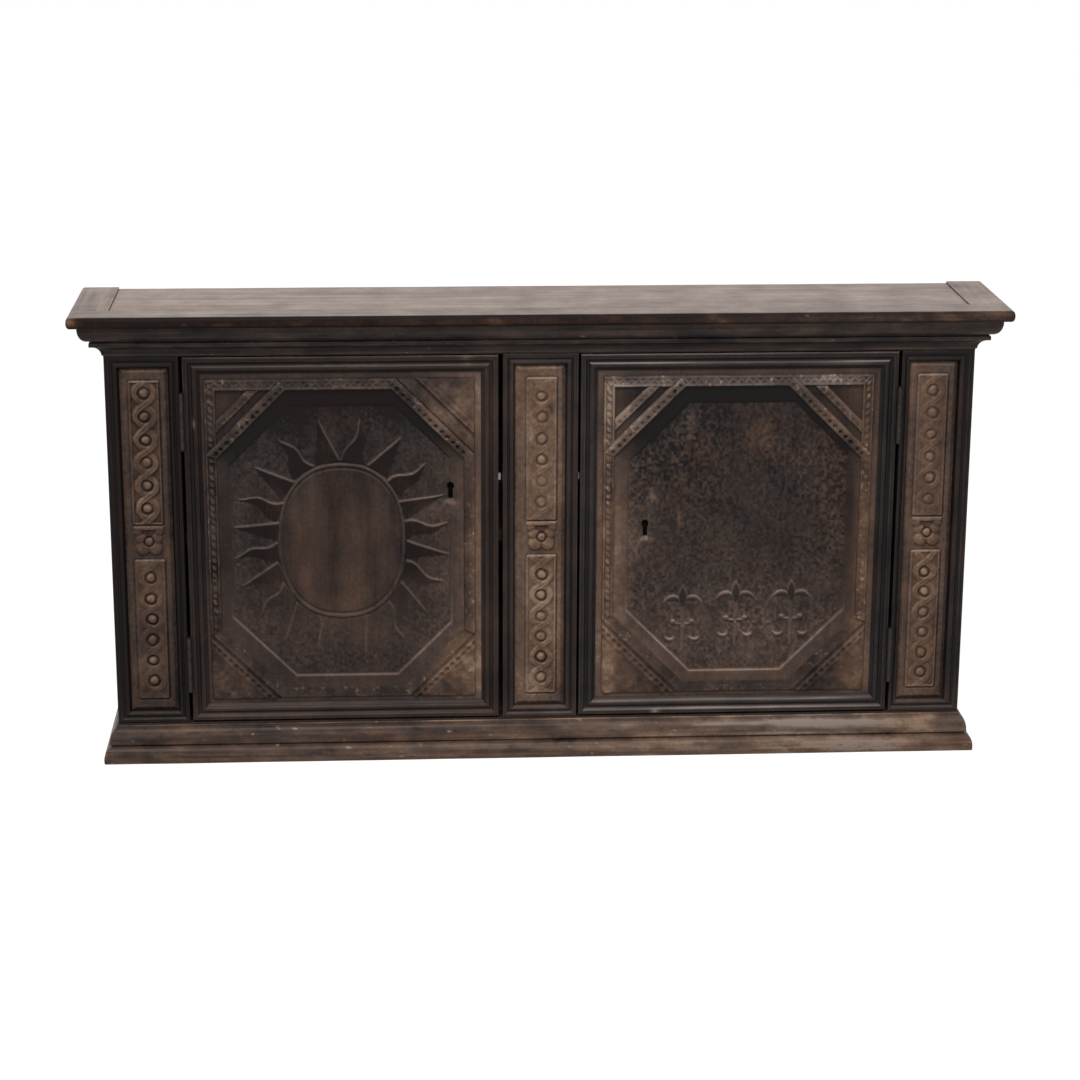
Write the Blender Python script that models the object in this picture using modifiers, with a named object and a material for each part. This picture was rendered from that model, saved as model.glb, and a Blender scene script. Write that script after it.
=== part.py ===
"""Low two-door wall cabinet with carved pilasters and door panels, in metres, +Z up.

The origin is on the floor, at the middle of the cabinet's width and depth. -Y is the front.
"""

import bmesh
import bpy
from math import acos, cos, pi, radians, sin, sqrt, tan
from mathutils import Matrix, Vector

# Overall sizes
TOP_WIDTH = 1.500
TOP_DEPTH = 0.258
HEIGHT = 0.754
TOP_THICK = 0.018
TOP_OVERHANG = 0.0515
ARRIS = 0.0015
FIT = 0.0003

# Top: a sunk main board between two cleats, behind a front strip
TOP_SINK = 0.003
FRONT_STRIP_DEPTH = 0.062
CLEAT_WIDTH = 0.061
NOSING_RADIUS = 0.006

# Face frame of rails and stiles, with a pilaster on each stile
FACE_DEPTH = 0.036
STILE_WIDTH = 0.118
CENTRE_STILE_WIDTH = 0.122
CENTRE_STILE_X = -0.0035
DOOR_BOTTOM = 0.0665
DOOR_TOP_DROP = 0.075
DOOR_GAP = 0.0025

# Pilaster: a mitred frame around a plate with guilloche relief
PILASTER_DEPTH = 0.012
PILASTER_FRAME_WIDTH = 0.020
PILASTER_FILLET = 0.0065
PILASTER_HOLLOW = 0.0028
PILASTER_BEAD = 0.0035
PILASTER_BEAD_INSET = 0.0055
PLATE_BEVEL = 0.007
PLATE_FACE = 0.0052
PLATE_EDGE = 0.0086
PLATE_SHIFT = {"left": 0.0025, "centre": -0.0005, "right": -0.006}
STRIP_WIDTH = 0.046
STRIP_END_MARGIN = 0.0215
STRIP_CORNER = 0.006
ROSETTE_HEIGHT = 0.053
STRIP_JOINT = 0.004
STRIP_RISE = 0.0027
EYES_PER_STRIP = 6
EYE_END_MARGIN = 0.030
EYE_RADIUS = 0.0135
BOSS_RADIUS = 0.0072
ROSETTE_RADIUS = 0.0195
PETAL_RADIUS = 0.0056
PETAL_RING = 0.0120
SIDE_HOLLOW_HEIGHT = 0.011
SIDE_HOLLOW_DEPTH = 0.0065
SIDE_HOLLOW_EDGE = 0.003

# Carcass boards
SIDE_THICK = 0.020
BACK_THICK = 0.012
BOTTOM_THICK = 0.020
SHELF_THICK = 0.018
SHELF_RISE = 0.288
SHELF_SETBACK = 0.062
BATTEN = 0.018
BACK_BATTEN_LENGTH = 0.600

# Cornice and plinth mouldings
CORNICE_HEIGHT = 0.052
CORNICE_PROJECTION = 0.036
CORNICE_LIP = 0.003
CORNICE_OVOLO = 0.022
CORNICE_QUIRK = 0.003
CORNICE_FILLET = 0.020
CORNICE_FILLET_HEIGHT = 0.007
CORNICE_FOOT = 0.002
PLINTH_HEIGHT = 0.062
PLINTH_PROJECTION = 0.0231
PLINTH_TOE = 0.008
PLINTH_STEP_HEIGHT = 0.027
PLINTH_STEP = 0.0135
PLINTH_STEP_RISE = 0.005
PLINTH_FILLET = 0.003
PLINTH_FILLET_HEIGHT = 0.005

# Doors: mitred moulded frame around a carved panel
DOOR_THICK = 0.022
HINGE_GAP = 0.005
LOCK_GAP_LEFT = 0.007
LOCK_GAP_RIGHT = 0.0035
DOOR_FRAME_WIDTH = 0.028
DOOR_FILLET = 0.0075
DOOR_HOLLOW = 0.0042
DOOR_BEAD = 0.0042
DOOR_BEAD_INSET = 0.0095
REBATE_WIDTH = 0.010
LIP_FRONT = 0.0085
LIP_BACK = 0.0100
PANEL_BACK = 0.0205

# Carved border on the panel: a rectangle with diagonal bars that leave an octagon.
# Corners are counted from the lower left one, to the right and round.
BORDER_MARGIN_WEST = {"left": 0.005, "right": 0.010}
BORDER_MARGIN_EAST = 0.010
BORDER_MARGIN_LOW = 0.007
BORDER_MARGIN_HIGH = 0.010
BORDER_STRIP = 0.018
BORDER_FACE = 0.0050
OCTAGON_CUTS = {"left": (0.113, 0.109, 0.126, 0.1225), "right": (0.128, 0.120, 0.132, 0.125)}
CORNER_GAP = 0.012
CORNER_BAR = 0.014
PIERCED_CORNERS = {"left": (3,), "right": (2, 3)}
WORN_RISE = 0.0013
WORN_CLEAR = 0.002

# Sunk octagon, with its own distances from the border's west, east, lower and upper edges
GROUND_MARGINS = {"left": (0.0375, 0.0405, 0.0385, 0.045), "right": (0.042, 0.0375, 0.037, 0.045)}
GROUND_CUTS = {"left": (0.102, 0.088, 0.089, 0.097), "right": (0.105, 0.1035, 0.089, 0.099)}
BAND_DROP = 0.0027
FLOOR_STEP = 0.0020

# Sun on the left panel
SUN_SHIFT_X = 0.0015
SUN_SHIFT_Z = 0.001
RIM_WIDTH = 0.005
GROOVE_WIDTH = 0.002
DISC_RISE = 0.0045
RIM_RISE = 0.0030
RAY_COUNT = 20
RAY_SIDE_LENGTH = 0.0745
RAY_SIDE_CLEAR = 0.001
RAY_END_LENGTH = 0.077
RAY_END_CLEAR = 0.021
RAY_TIP_WIDTH = 0.0006
RAY_ROOT_SHARE = 0.90
RAY_CLEAR = 0.0025
RAY_WAVE = 0.0032
RAY_RISE = 0.0028

# Fleurs-de-lis on the right panel
FLEUR_PLACES = ((-0.085, -0.006), (0.003, 0.0), (0.095, 0.001))
FLEUR_LIFT = 0.084
FLEUR_HEIGHT = 0.114
FLEUR_RISE = 0.0022

# Butt hinges
HINGE_LENGTH = 0.091
HINGE_LOW_INSET = 0.0535
HINGE_HIGH_INSET = 0.059
HINGE_PROUD = 0.004
KNUCKLE_RADIUS = 0.004
KNUCKLE_COUNT = 5
LEAF_THICK = 0.0016
LEAF_DEPTH = 0.026
PIN_RADIUS = 0.002
PIN_HEAD_RADIUS = 0.0034
PIN_HEAD = 0.002
ROUND_SIDES = 12

# Locks
BOLT_RISE = 0.4055
BOLT_HEIGHT = 0.012
BOLT_THICK = 0.005
BOLT_TAIL = 0.052
BOLT_NOSE_LEFT = 0.0045
BOLT_NOSE_RIGHT = 0.0015
BOLT_THROW = 0.009
LOCK_THICK = 0.016
LOCK_WALL = 0.0022
LOCK_BORDER = 0.025
KEY_SETBACK_LEFT = 0.0775
KEY_SETBACK_RIGHT = 0.108
KEY_DROP_LEFT = 0.0195
KEY_DROP_RIGHT = 0.0875
KEYHOLE_HEIGHT = 0.026
KEYHOLE_RADIUS = 0.0055
KEYHOLE_SLOT = 0.0064
KEYHOLE_DEPTH = 0.008
STRIKE_THICK = 0.001
STRIKE_BORDER = 0.0042
STRIKE_HEIGHT = 0.044
MORTISE_SLACK = 0.003
MORTISE_CLEAR = 0.001

# Places worked out from the sizes
FRONT = -TOP_DEPTH / 2 + TOP_OVERHANG
BACK = TOP_DEPTH / 2
HALF_BODY = TOP_WIDTH / 2 - TOP_OVERHANG
BODY_TOP = HEIGHT - TOP_THICK
CARCASS_TOP = BODY_TOP - FIT
DOOR_TOP = HEIGHT - DOOR_TOP_DROP
RAIL_BOTTOM = DOOR_TOP + DOOR_GAP
RAIL_TOP = DOOR_BOTTOM - DOOR_GAP
STILE_LOW = RAIL_TOP + FIT
STILE_HIGH = RAIL_BOTTOM - FIT
BACK_FACE = BACK - BACK_THICK - FIT
SHELF_UNDERSIDE = RAIL_TOP + SHELF_RISE
BACK_JOINT = SHELF_UNDERSIDE + SHELF_THICK / 2
INNER_HALF = HALF_BODY - SIDE_THICK
MITRE = 0.75 * FIT
PANEL_FACE = LIP_BACK + FIT
FLOOR = PANEL_FACE + BAND_DROP + FLOOR_STEP
BOLT_Z = DOOR_BOTTOM + BOLT_RISE
BOLT_DEPTH = DOOR_THICK + 2 * FIT + LOCK_WALL + BOLT_THICK / 2
EMBED = 0.001
SIDES = ((-1, "left"), (1, "right"))

# Finishes: base colour, roughness, metallic
DARK_WOOD = ((0.026, 0.020, 0.018), 0.45, 0.0)
CARVED_WOOD = ((0.105, 0.066, 0.047), 0.60, 0.0)
PANEL_WOOD = ((0.046, 0.032, 0.027), 0.50, 0.0)
TOP_WOOD = ((0.190, 0.150, 0.130), 0.50, 0.0)
PLINTH_WOOD = ((0.085, 0.058, 0.045), 0.50, 0.0)
RAW_WOOD = ((0.150, 0.105, 0.070), 0.75, 0.0)
IRON = ((0.070, 0.065, 0.062), 0.50, 0.9)
BRIGHT_IRON = ((0.500, 0.480, 0.460), 0.35, 1.0)

for leftover in list(bpy.data.objects):
    bpy.data.objects.remove(leftover)

PARTS = bpy.data.collections.new("carved_wall_cabinet")
CUTTERS = bpy.data.collections.new("carved_wall_cabinet_cutters")
bpy.context.scene.collection.children.link(PARTS)
bpy.context.scene.collection.children.link(CUTTERS)


# Basic shapes

def dress(piece, finish):
    """Gives a piece its own material."""
    colour, roughness, metallic = finish
    material = bpy.data.materials.new(piece.name)
    material.use_nodes = True
    shader = material.node_tree.nodes["Principled BSDF"]
    shader.inputs["Base Color"].default_value = (*colour, 1.0)
    shader.inputs["Roughness"].default_value = roughness
    shader.inputs["Metallic"].default_value = metallic
    piece.data.materials.append(material)


def piece_from(name, shape, finish):
    """Makes a part from a bmesh, or a wire-drawn cutter where it has no finish."""
    bmesh.ops.recalc_face_normals(shape, faces=shape.faces)
    mesh = bpy.data.meshes.new(name)
    shape.to_mesh(mesh)
    shape.free()
    piece = bpy.data.objects.new(name, mesh)
    if finish is None:
        CUTTERS.objects.link(piece)
        piece.hide_render = True
        piece.display_type = "WIRE"
    else:
        PARTS.objects.link(piece)
        dress(piece, finish)
    return piece


def block(name, low, high, finish=None):
    """A box between two corners, with its object at the box's middle."""
    low = Vector(low)
    size = Vector(high) - low
    shape = bmesh.new()
    bmesh.ops.create_cube(shape, size=1.0, matrix=Matrix.Diagonal((*size, 1.0)))
    piece = piece_from(name, shape, finish)
    piece.location = low + size / 2
    return piece


def board(name, x_range, depth_range, z_range, finish=None):
    """A box given by its depths behind the front plane."""
    low = (x_range[0], FRONT + depth_range[0], z_range[0])
    high = (x_range[1], FRONT + depth_range[1], z_range[1])
    return block(name, low, high, finish)


def loft(name, rings, finish=None, closed=False):
    """A skin over rings of equally many points, capped at both ends or closed on itself."""
    shape = bmesh.new()
    loops = [[shape.verts.new(point) for point in ring] for ring in rings]
    pairs = list(zip(loops, loops[1:]))
    if closed:
        pairs.append((loops[-1], loops[0]))
    else:
        shape.faces.new(loops[0])
        shape.faces.new(loops[-1])
    count = len(loops[0])
    for near, far in pairs:
        for i in range(count):
            j = (i + 1) % count
            shape.faces.new((near[i], near[j], far[j], far[i]))
    return piece_from(name, shape, finish)


def turned(name, profile, centre, finish=None):
    """A round piece about a vertical axis, from its (radius, height) profile."""
    angles = [2 * pi * k / ROUND_SIDES for k in range(ROUND_SIDES)]
    rings = [
        [(centre[0] + r * cos(a), centre[1] + r * sin(a), z) for a in angles]
        for r, z in profile
    ]
    piece = loft(name, rings, finish)
    piece.data.shade_smooth()
    piece.data.set_sharp_from_angle(angle=radians(40))
    return piece


def relief(name, outlines, near, far, finish=None):
    """Flat (x, z) outlines, filled and extruded between two depths behind the front plane."""
    curve = bpy.data.curves.new(name, "CURVE")
    curve.dimensions = "2D"
    curve.fill_mode = "BOTH"
    curve.extrude = (far - near) / 2
    for outline in outlines:
        spline = curve.splines.new("POLY")
        spline.points.add(len(outline) - 1)
        for point, (x, z) in zip(spline.points, outline):
            point.co = (x, z, 0.0, 1.0)
        spline.use_cyclic_u = True
    guide = bpy.data.objects.new(name + "_outline", curve)
    guide.location.y = FRONT + (near + far) / 2
    guide.rotation_euler.x = pi / 2
    CUTTERS.objects.link(guide)
    bpy.context.view_layer.update()
    evaluated = guide.evaluated_get(bpy.context.evaluated_depsgraph_get())
    mesh = bpy.data.meshes.new_from_object(evaluated)
    shape = bmesh.new()
    shape.from_mesh(mesh)
    bmesh.ops.remove_doubles(shape, verts=shape.verts, dist=1e-6)
    bmesh.ops.dissolve_degenerate(shape, dist=1e-6, edges=shape.edges)
    piece = piece_from(name, shape, finish)
    piece.matrix_world = guide.matrix_world
    bpy.data.objects.remove(guide)
    bpy.data.meshes.remove(mesh)
    return piece


def combine(piece, tool, operation):
    """Cuts a tool out of a piece, or joins it on."""
    change = piece.modifiers.new(tool.name, "BOOLEAN")
    change.operation = operation
    change.solver = "EXACT"
    change.object = tool


def soften(piece, radius, chosen):
    """Rounds the edges whose middle, in the piece's own axes, is chosen."""
    shape = bmesh.new()
    shape.from_mesh(piece.data)
    weight = shape.edges.layers.float.new("bevel_weight_edge")
    for edge in shape.edges:
        if chosen((edge.verts[0].co + edge.verts[1].co) / 2):
            edge[weight] = 1.0
    shape.to_mesh(piece.data)
    shape.free()
    rounding = piece.modifiers.new("rounded_edges", "BEVEL")
    rounding.limit_method = "WEIGHT"
    rounding.width = radius
    rounding.segments = 3


def pivot_at(name, place, parent=None):
    """An empty on a joint's axis, which carries the pieces that move about it."""
    pivot = bpy.data.objects.new(name, None)
    pivot.empty_display_size = 0.05
    PARTS.objects.link(pivot)
    pivot.location = place
    if parent is not None:
        carry(parent, pivot)
    return pivot


def carry(pivot, *pieces):
    """Hangs pieces on a pivot, where they are."""
    bpy.context.view_layer.update()
    for piece in pieces:
        piece.parent = pivot
        piece.matrix_parent_inverse = pivot.matrix_world.inverted()


def arc(centre, half_width, half_height, start, end, steps):
    """Points along an elliptical arc, from one angle in degrees to another."""
    points = []
    for k in range(steps + 1):
        angle = radians(start + (end - start) * k / steps)
        points.append((centre[0] + half_width * cos(angle), centre[1] + half_height * sin(angle)))
    return points


def circle(centre, radius, sides):
    return arc(centre, radius, radius, 0, 360 * (1 - 1 / sides), sides - 1)


def rectangle(x_range, z_range):
    (x0, x1), (z0, z1) = x_range, z_range
    return [(x0, z0), (x1, z0), (x1, z1), (x0, z1)]


def inset(span, margin):
    return (span[0] + margin, span[1] - margin)


def tapered_stroke(spine, widths):
    """The outline of a brush stroke: a spine with a full width at each of its points."""
    left, right = [], []
    for k, (x, z) in enumerate(spine):
        ahead = Vector(spine[min(k + 1, len(spine) - 1)])
        behind = Vector(spine[max(k - 1, 0)])
        along = (ahead - behind).normalized()
        half = widths[k] / 2
        left.append((x - along.y * half, z + along.x * half))
        right.append((x + along.y * half, z - along.x * half))
    return left + right[::-1]


def bezier(p0, p1, p2, p3, steps):
    """Points along a cubic Bezier curve."""
    points = []
    for k in range(steps + 1):
        t = k / steps
        weights = ((1 - t) ** 3, 3 * t * (1 - t) ** 2, 3 * t**2 * (1 - t), t**3)
        x = sum(w * p[0] for w, p in zip(weights, (p0, p1, p2, p3)))
        z = sum(w * p[1] for w, p in zip(weights, (p0, p1, p2, p3)))
        points.append((x, z))
    return points


def rounded_rectangle(x_range, z_range, radius):
    """A rectangle with quarter-round corners."""
    (x0, x1), (z0, z1) = inset(x_range, radius), inset(z_range, radius)
    corners = (((x1, z1), 0), ((x0, z1), 90), ((x0, z0), 180), ((x1, z0), 270))
    points = []
    for centre, start in corners:
        points += arc(centre, radius, radius, start, start + 90, 2)
    return points


# Top

def build_top():
    """A sunk main board between two end cleats, with a nosed strip along the front."""
    half = TOP_WIDTH / 2
    front_edge = -TOP_DEPTH / 2
    strip_back = front_edge + FRONT_STRIP_DEPTH
    nosing = min(NOSING_RADIUS, 0.45 * TOP_THICK)
    strip = block("top_front_strip", (-half, front_edge, BODY_TOP), (half, strip_back, HEIGHT), TOP_WOOD)
    near_front = -0.49 * FRONT_STRIP_DEPTH
    near_end = 0.49 * TOP_WIDTH
    soften(strip, nosing, lambda m: m.y < near_front or (abs(m.x) > near_end and m.y < -near_front))
    for side, word in SIDES:
        outer = side * half
        inner = side * (half - CLEAT_WIDTH)
        low = (min(outer, inner), strip_back + FIT, BODY_TOP)
        high = (max(outer, inner), BACK, HEIGHT)
        cleat = block("top_cleat_" + word, low, high, TOP_WOOD)
        near_top = 0.49 * TOP_THICK
        near_outside = 0.49 * CLEAT_WIDTH
        soften(cleat, nosing, lambda m: side * m.x > near_outside and abs(m.z) > near_top)
    reach = half - CLEAT_WIDTH - FIT
    block("top_board", (-reach, strip_back + FIT, BODY_TOP), (reach, BACK, HEIGHT - TOP_SINK), TOP_WOOD)


# Mouldings that run round the front and sides

def moulding_around(prefix, section, finish):
    """A (projection, height) section along the front and both sides, mitred at the front corners."""
    corner_x = HALF_BODY + FIT
    corner_y = FRONT - FIT
    ends = [
        [(side * (corner_x + e - MITRE), corner_y - e, z) for e, z in section]
        for side, word in SIDES
    ]
    loft(prefix + "_front", ends, finish)
    for side, word in SIDES:
        mitred = [(side * (corner_x + e), corner_y - e + MITRE, z) for e, z in section]
        square = [(side * (corner_x + e), BACK, z) for e, z in section]
        loft(prefix + "_" + word, [mitred, square], finish)


def build_cornice():
    """Lip, ovolo, quirk, fillet and cove, from the top down."""
    top = CARCASS_TOP
    ovolo_top = top - CORNICE_LIP
    ovolo_foot = ovolo_top - CORNICE_OVOLO
    fillet_top = ovolo_foot - CORNICE_QUIRK
    cove_top = fillet_top - CORNICE_FILLET_HEIGHT
    bottom = top - CORNICE_HEIGHT
    quirk = CORNICE_FILLET - CORNICE_QUIRK
    section = [(0.0, top), (CORNICE_PROJECTION, top)]
    ovolo_width = CORNICE_PROJECTION - CORNICE_FILLET
    section += arc((CORNICE_FILLET, ovolo_top), ovolo_width, -CORNICE_OVOLO, 0, 90, 4)
    section += [(quirk, ovolo_foot), (quirk, fillet_top), (CORNICE_FILLET, fillet_top)]
    cove_width = CORNICE_FILLET - CORNICE_FOOT
    section += arc((CORNICE_FILLET, bottom), cove_width, cove_top - bottom, 90, 180, 4)
    section.append((0.0, bottom))
    moulding_around("cornice", section, DARK_WOOD)


def build_plinth():
    """Toe, rounded lower block, step, torus and fillet, from the floor up."""
    torus_foot = PLINTH_STEP_HEIGHT + PLINTH_STEP_RISE
    torus_top = PLINTH_HEIGHT - PLINTH_FILLET_HEIGHT
    section = [(0.0, 0.0), (PLINTH_PROJECTION, 0.0)]
    block_width = PLINTH_PROJECTION - PLINTH_STEP
    section += arc((PLINTH_STEP, PLINTH_TOE), block_width, PLINTH_STEP_HEIGHT - PLINTH_TOE, 0, 80, 4)
    section.append((PLINTH_STEP, PLINTH_STEP_HEIGHT))
    torus_width = PLINTH_STEP - PLINTH_FILLET
    section += arc((PLINTH_FILLET, torus_foot), torus_width, torus_top - torus_foot, 0, 90, 5)
    section += [(PLINTH_FILLET, PLINTH_HEIGHT), (0.0, PLINTH_HEIGHT)]
    moulding_around("plinth", section, PLINTH_WOOD)


# Face frame and carcass

def stile_spans():
    """The width that each stile covers."""
    half = CENTRE_STILE_WIDTH / 2
    return {
        "left": (-HALF_BODY, -HALF_BODY + STILE_WIDTH),
        "centre": (CENTRE_STILE_X - half, CENTRE_STILE_X + half),
        "right": (HALF_BODY - STILE_WIDTH, HALF_BODY),
    }


def build_face_frame():
    """Frieze rail, base rail and the stiles between them."""
    body = (-HALF_BODY, HALF_BODY)
    board("frieze_rail", body, (0.0, FACE_DEPTH), (RAIL_BOTTOM, CARCASS_TOP), DARK_WOOD)
    board("base_rail", body, (0.0, FACE_DEPTH), (0.0, RAIL_TOP), DARK_WOOD)
    stiles = {}
    for word, span in stile_spans().items():
        depths = (PILASTER_DEPTH, FACE_DEPTH)
        stiles[word] = board("stile_" + word, span, depths, (STILE_LOW, STILE_HIGH), DARK_WOOD)
    return stiles


def build_carcass():
    """Sides, back boards, bottom and the shelf on its battens."""
    inside = FACE_DEPTH + FIT
    back_face = BACK_FACE - FRONT
    for side, word in SIDES:
        span = sorted((side * HALF_BODY, side * INNER_HALF))
        board("side_" + word, span, (inside, back_face), (0.0, CARCASS_TOP), DARK_WOOD)
        span = sorted((side * (INNER_HALF - FIT), side * (INNER_HALF - FIT - BATTEN)))
        batten_z = (SHELF_UNDERSIDE - FIT - BATTEN, SHELF_UNDERSIDE - FIT)
        depths = (SHELF_SETBACK, back_face - FIT)
        board("shelf_batten_" + word, span, depths, batten_z, RAW_WOOD)
    between = (-INNER_HALF + FIT, INNER_HALF - FIT)
    bottom_z = (RAIL_TOP - BOTTOM_THICK, RAIL_TOP)
    board("bottom_board", between, (inside, back_face - FIT), bottom_z, RAW_WOOD)
    shelf_z = (SHELF_UNDERSIDE, SHELF_UNDERSIDE + SHELF_THICK)
    board("shelf", between, (SHELF_SETBACK, back_face - FIT), shelf_z, RAW_WOOD)
    length = (-BACK_BATTEN_LENGTH / 2, BACK_BATTEN_LENGTH / 2)
    depths = (back_face - FIT - BATTEN, back_face - FIT)
    board("shelf_batten_back", length, depths, batten_z, RAW_WOOD)
    body = (-HALF_BODY, HALF_BODY)
    depths = (back_face + FIT, BACK - FRONT)
    board("back_board_lower", body, depths, (0.0, BACK_JOINT), RAW_WOOD)
    board("back_board_upper", body, depths, (BACK_JOINT + FIT, CARCASS_TOP), RAW_WOOD)


# Moulded frames

def frame_face(width, fillet, hollow, bead, bead_inset):
    """The (inset, depth) face of a frame: eased arris, fillet, hollow and bead."""
    bead_middle = width - bead_inset
    points = [(0.0, ARRIS), (ARRIS, 0.0), (fillet, 0.0), ((fillet + bead_middle - bead) / 2, hollow)]
    points += arc((bead_middle, hollow), bead, -0.75 * bead, 180, 0, 4)
    return points


def mitred_member(name, section, start, end, inward, finish):
    """A (inset, depth) section between two outer corners, mitred to meet its neighbours."""
    start = Vector(start)
    end = Vector(end)
    inward = Vector(inward)
    along = (end - start).normalized()
    rings = []
    for corner, way in ((start, along), (end, -along)):
        ring = []
        for p, depth in section:
            place = corner + (p + MITRE) * way + p * inward
            ring.append((place.x, FRONT + depth, place.y))
        rings.append(ring)
    return loft(name, rings, finish)


def ring_frame(name, section, x_range, z_range, shift, finish):
    """A (inset, depth) section carried round a rectangle, wider on one side to shift its opening."""
    width = max(p for p, depth in section)
    west = 1 + shift / width
    east = 1 - shift / width
    rings = []
    for x, z in rectangle(x_range, z_range):
        way_x = west if x == x_range[0] else -east
        way_z = 1 if z == z_range[0] else -1
        rings.append([(x + way_x * p, FRONT + depth, z + way_z * p) for p, depth in section])
    return loft(name, rings, finish, closed=True)


# Pilasters

def guilloche(x_middle, z_range):
    """A strip with round eyes, a boss in each, and hollows where the strands part at the edges."""
    half = STRIP_WIDTH / 2
    outlines = [rounded_rectangle((x_middle - half, x_middle + half), z_range, STRIP_CORNER)]
    first = z_range[0] + EYE_END_MARGIN
    pitch = (z_range[1] - z_range[0] - 2 * EYE_END_MARGIN) / (EYES_PER_STRIP - 1)
    for k in range(EYES_PER_STRIP):
        centre = (x_middle, first + k * pitch)
        outlines.append(circle(centre, EYE_RADIUS, 12))
        outlines.append(circle(centre, BOSS_RADIUS, 10))
    for k in range(EYES_PER_STRIP - 1):
        z = first + (k + 0.5) * pitch
        for side in (-1, 1):
            edge = x_middle + side * (half - SIDE_HOLLOW_EDGE)
            rise = SIDE_HOLLOW_HEIGHT / 2
            outlines.append([(edge, z - rise), (edge, z + rise), (edge - side * SIDE_HOLLOW_DEPTH, z)])
    return outlines


def rosette(x_middle, z_range):
    """A square block with a round sinking that holds a boss between four petals."""
    half = STRIP_WIDTH / 2
    centre = (x_middle, sum(z_range) / 2)
    outlines = [
        rectangle((x_middle - half, x_middle + half), z_range),
        circle(centre, ROSETTE_RADIUS, 16),
        circle(centre, PETAL_RADIUS, 8),
    ]
    for k in range(4):
        angle = pi / 4 + k * pi / 2
        place = (centre[0] + PETAL_RING * cos(angle), centre[1] + PETAL_RING * sin(angle))
        outlines.append(circle(place, PETAL_RADIUS, 8))
    return outlines


def build_pilaster(word, span):
    """A mitred frame on the stile, and a bevelled plate with a carved strip inside it."""
    z_range = (STILE_LOW, STILE_HIGH)
    seat = PILASTER_DEPTH - FIT
    face = frame_face(
        PILASTER_FRAME_WIDTH, PILASTER_FILLET, PILASTER_HOLLOW, PILASTER_BEAD, PILASTER_BEAD_INSET
    )
    section = face + [(PILASTER_FRAME_WIDTH, PLATE_EDGE), (PILASTER_FRAME_WIDTH, seat), (0.0, seat)]
    shift = PLATE_SHIFT[word]
    ring_frame("pilaster_frame_" + word, section, span, z_range, shift, DARK_WOOD)

    plate_x = [x + shift for x in inset(span, PILASTER_FRAME_WIDTH + FIT)]
    plate_z = inset(z_range, PILASTER_FRAME_WIDTH + FIT)
    rings = []
    for margin, depth in ((0.0, seat), (0.0, PLATE_EDGE), (PLATE_BEVEL, PLATE_FACE)):
        corners = rectangle(inset(plate_x, margin), inset(plate_z, margin))
        rings.append([(x, FRONT + depth, z) for x, z in corners])
    plate = loft("pilaster_panel_" + word, rings, CARVED_WOOD)

    x_middle = sum(plate_x) / 2
    z_middle = sum(plate_z) / 2
    block_z = (z_middle - ROSETTE_HEIGHT / 2, z_middle + ROSETTE_HEIGHT / 2)
    lower = (plate_z[0] + STRIP_END_MARGIN, block_z[0] - STRIP_JOINT)
    upper = (block_z[1] + STRIP_JOINT, plate_z[1] - STRIP_END_MARGIN)
    carving = guilloche(x_middle, lower) + rosette(x_middle, block_z) + guilloche(x_middle, upper)
    strip = relief("carving_" + word, carving, PLATE_FACE - STRIP_RISE, PLATE_FACE + EMBED)
    combine(plate, strip, "UNION")


# Doors

def octagon(x_range, z_range, cuts, margin):
    """A rectangle with its four corners cut off, moved in by a margin on all eight sides."""
    (x0, x1), (z0, z1) = inset(x_range, margin), inset(z_range, margin)
    a, b, c, d = [cut - margin * (2 - sqrt(2)) for cut in cuts]
    return [
        (x0 + a, z0), (x1 - b, z0), (x1, z0 + b), (x1, z1 - c),
        (x1 - c, z1), (x0 + d, z1), (x0, z1 - d), (x0, z0 + a),
    ]


def border_outlines(x_range, z_range, cuts, pierced):
    """The carved border: a rectangle less its octagon and the gaps beside the pierced corners' bars."""
    strip = BORDER_STRIP
    outlines = [rectangle(x_range, z_range), octagon(x_range, z_range, cuts, strip)]
    ways = ((1, 1), (-1, 1), (-1, -1), (1, -1))
    for corner in pierced:
        x, z = rectangle(x_range, z_range)[corner]
        way_x, way_z = ways[corner]
        far = cuts[corner] - strip
        near = far - CORNER_GAP * sqrt(2)
        tip = near - CORNER_BAR * sqrt(2)
        gaps = (
            [(strip, far), (far, strip), (near, strip), (strip, near)],
            [(strip, strip), (tip, strip), (strip, tip)],
        )
        for gap in gaps:
            outlines.append([(x + way_x * a, z + way_z * b) for a, b in gap])
    return outlines


def worn_strip(x_range, z_range, cuts):
    """The outline of the border's lower three strips, which are worn down to the band beside them."""
    outer = octagon(x_range, z_range, cuts, -WORN_CLEAR)
    inner = octagon(x_range, z_range, cuts, BORDER_STRIP + WORN_CLEAR)
    return [outer[7], outer[0], outer[1], outer[2], inner[2], inner[1], inner[0], inner[7]]


def oval_point(centre, half_width, half_height, angle):
    """The point of an oval that lies in one direction from its centre."""
    reach = 1 / sqrt((cos(angle) / half_width) ** 2 + (sin(angle) / half_height) ** 2)
    return Vector((centre[0] + reach * cos(angle), centre[1] + reach * sin(angle)))


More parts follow.
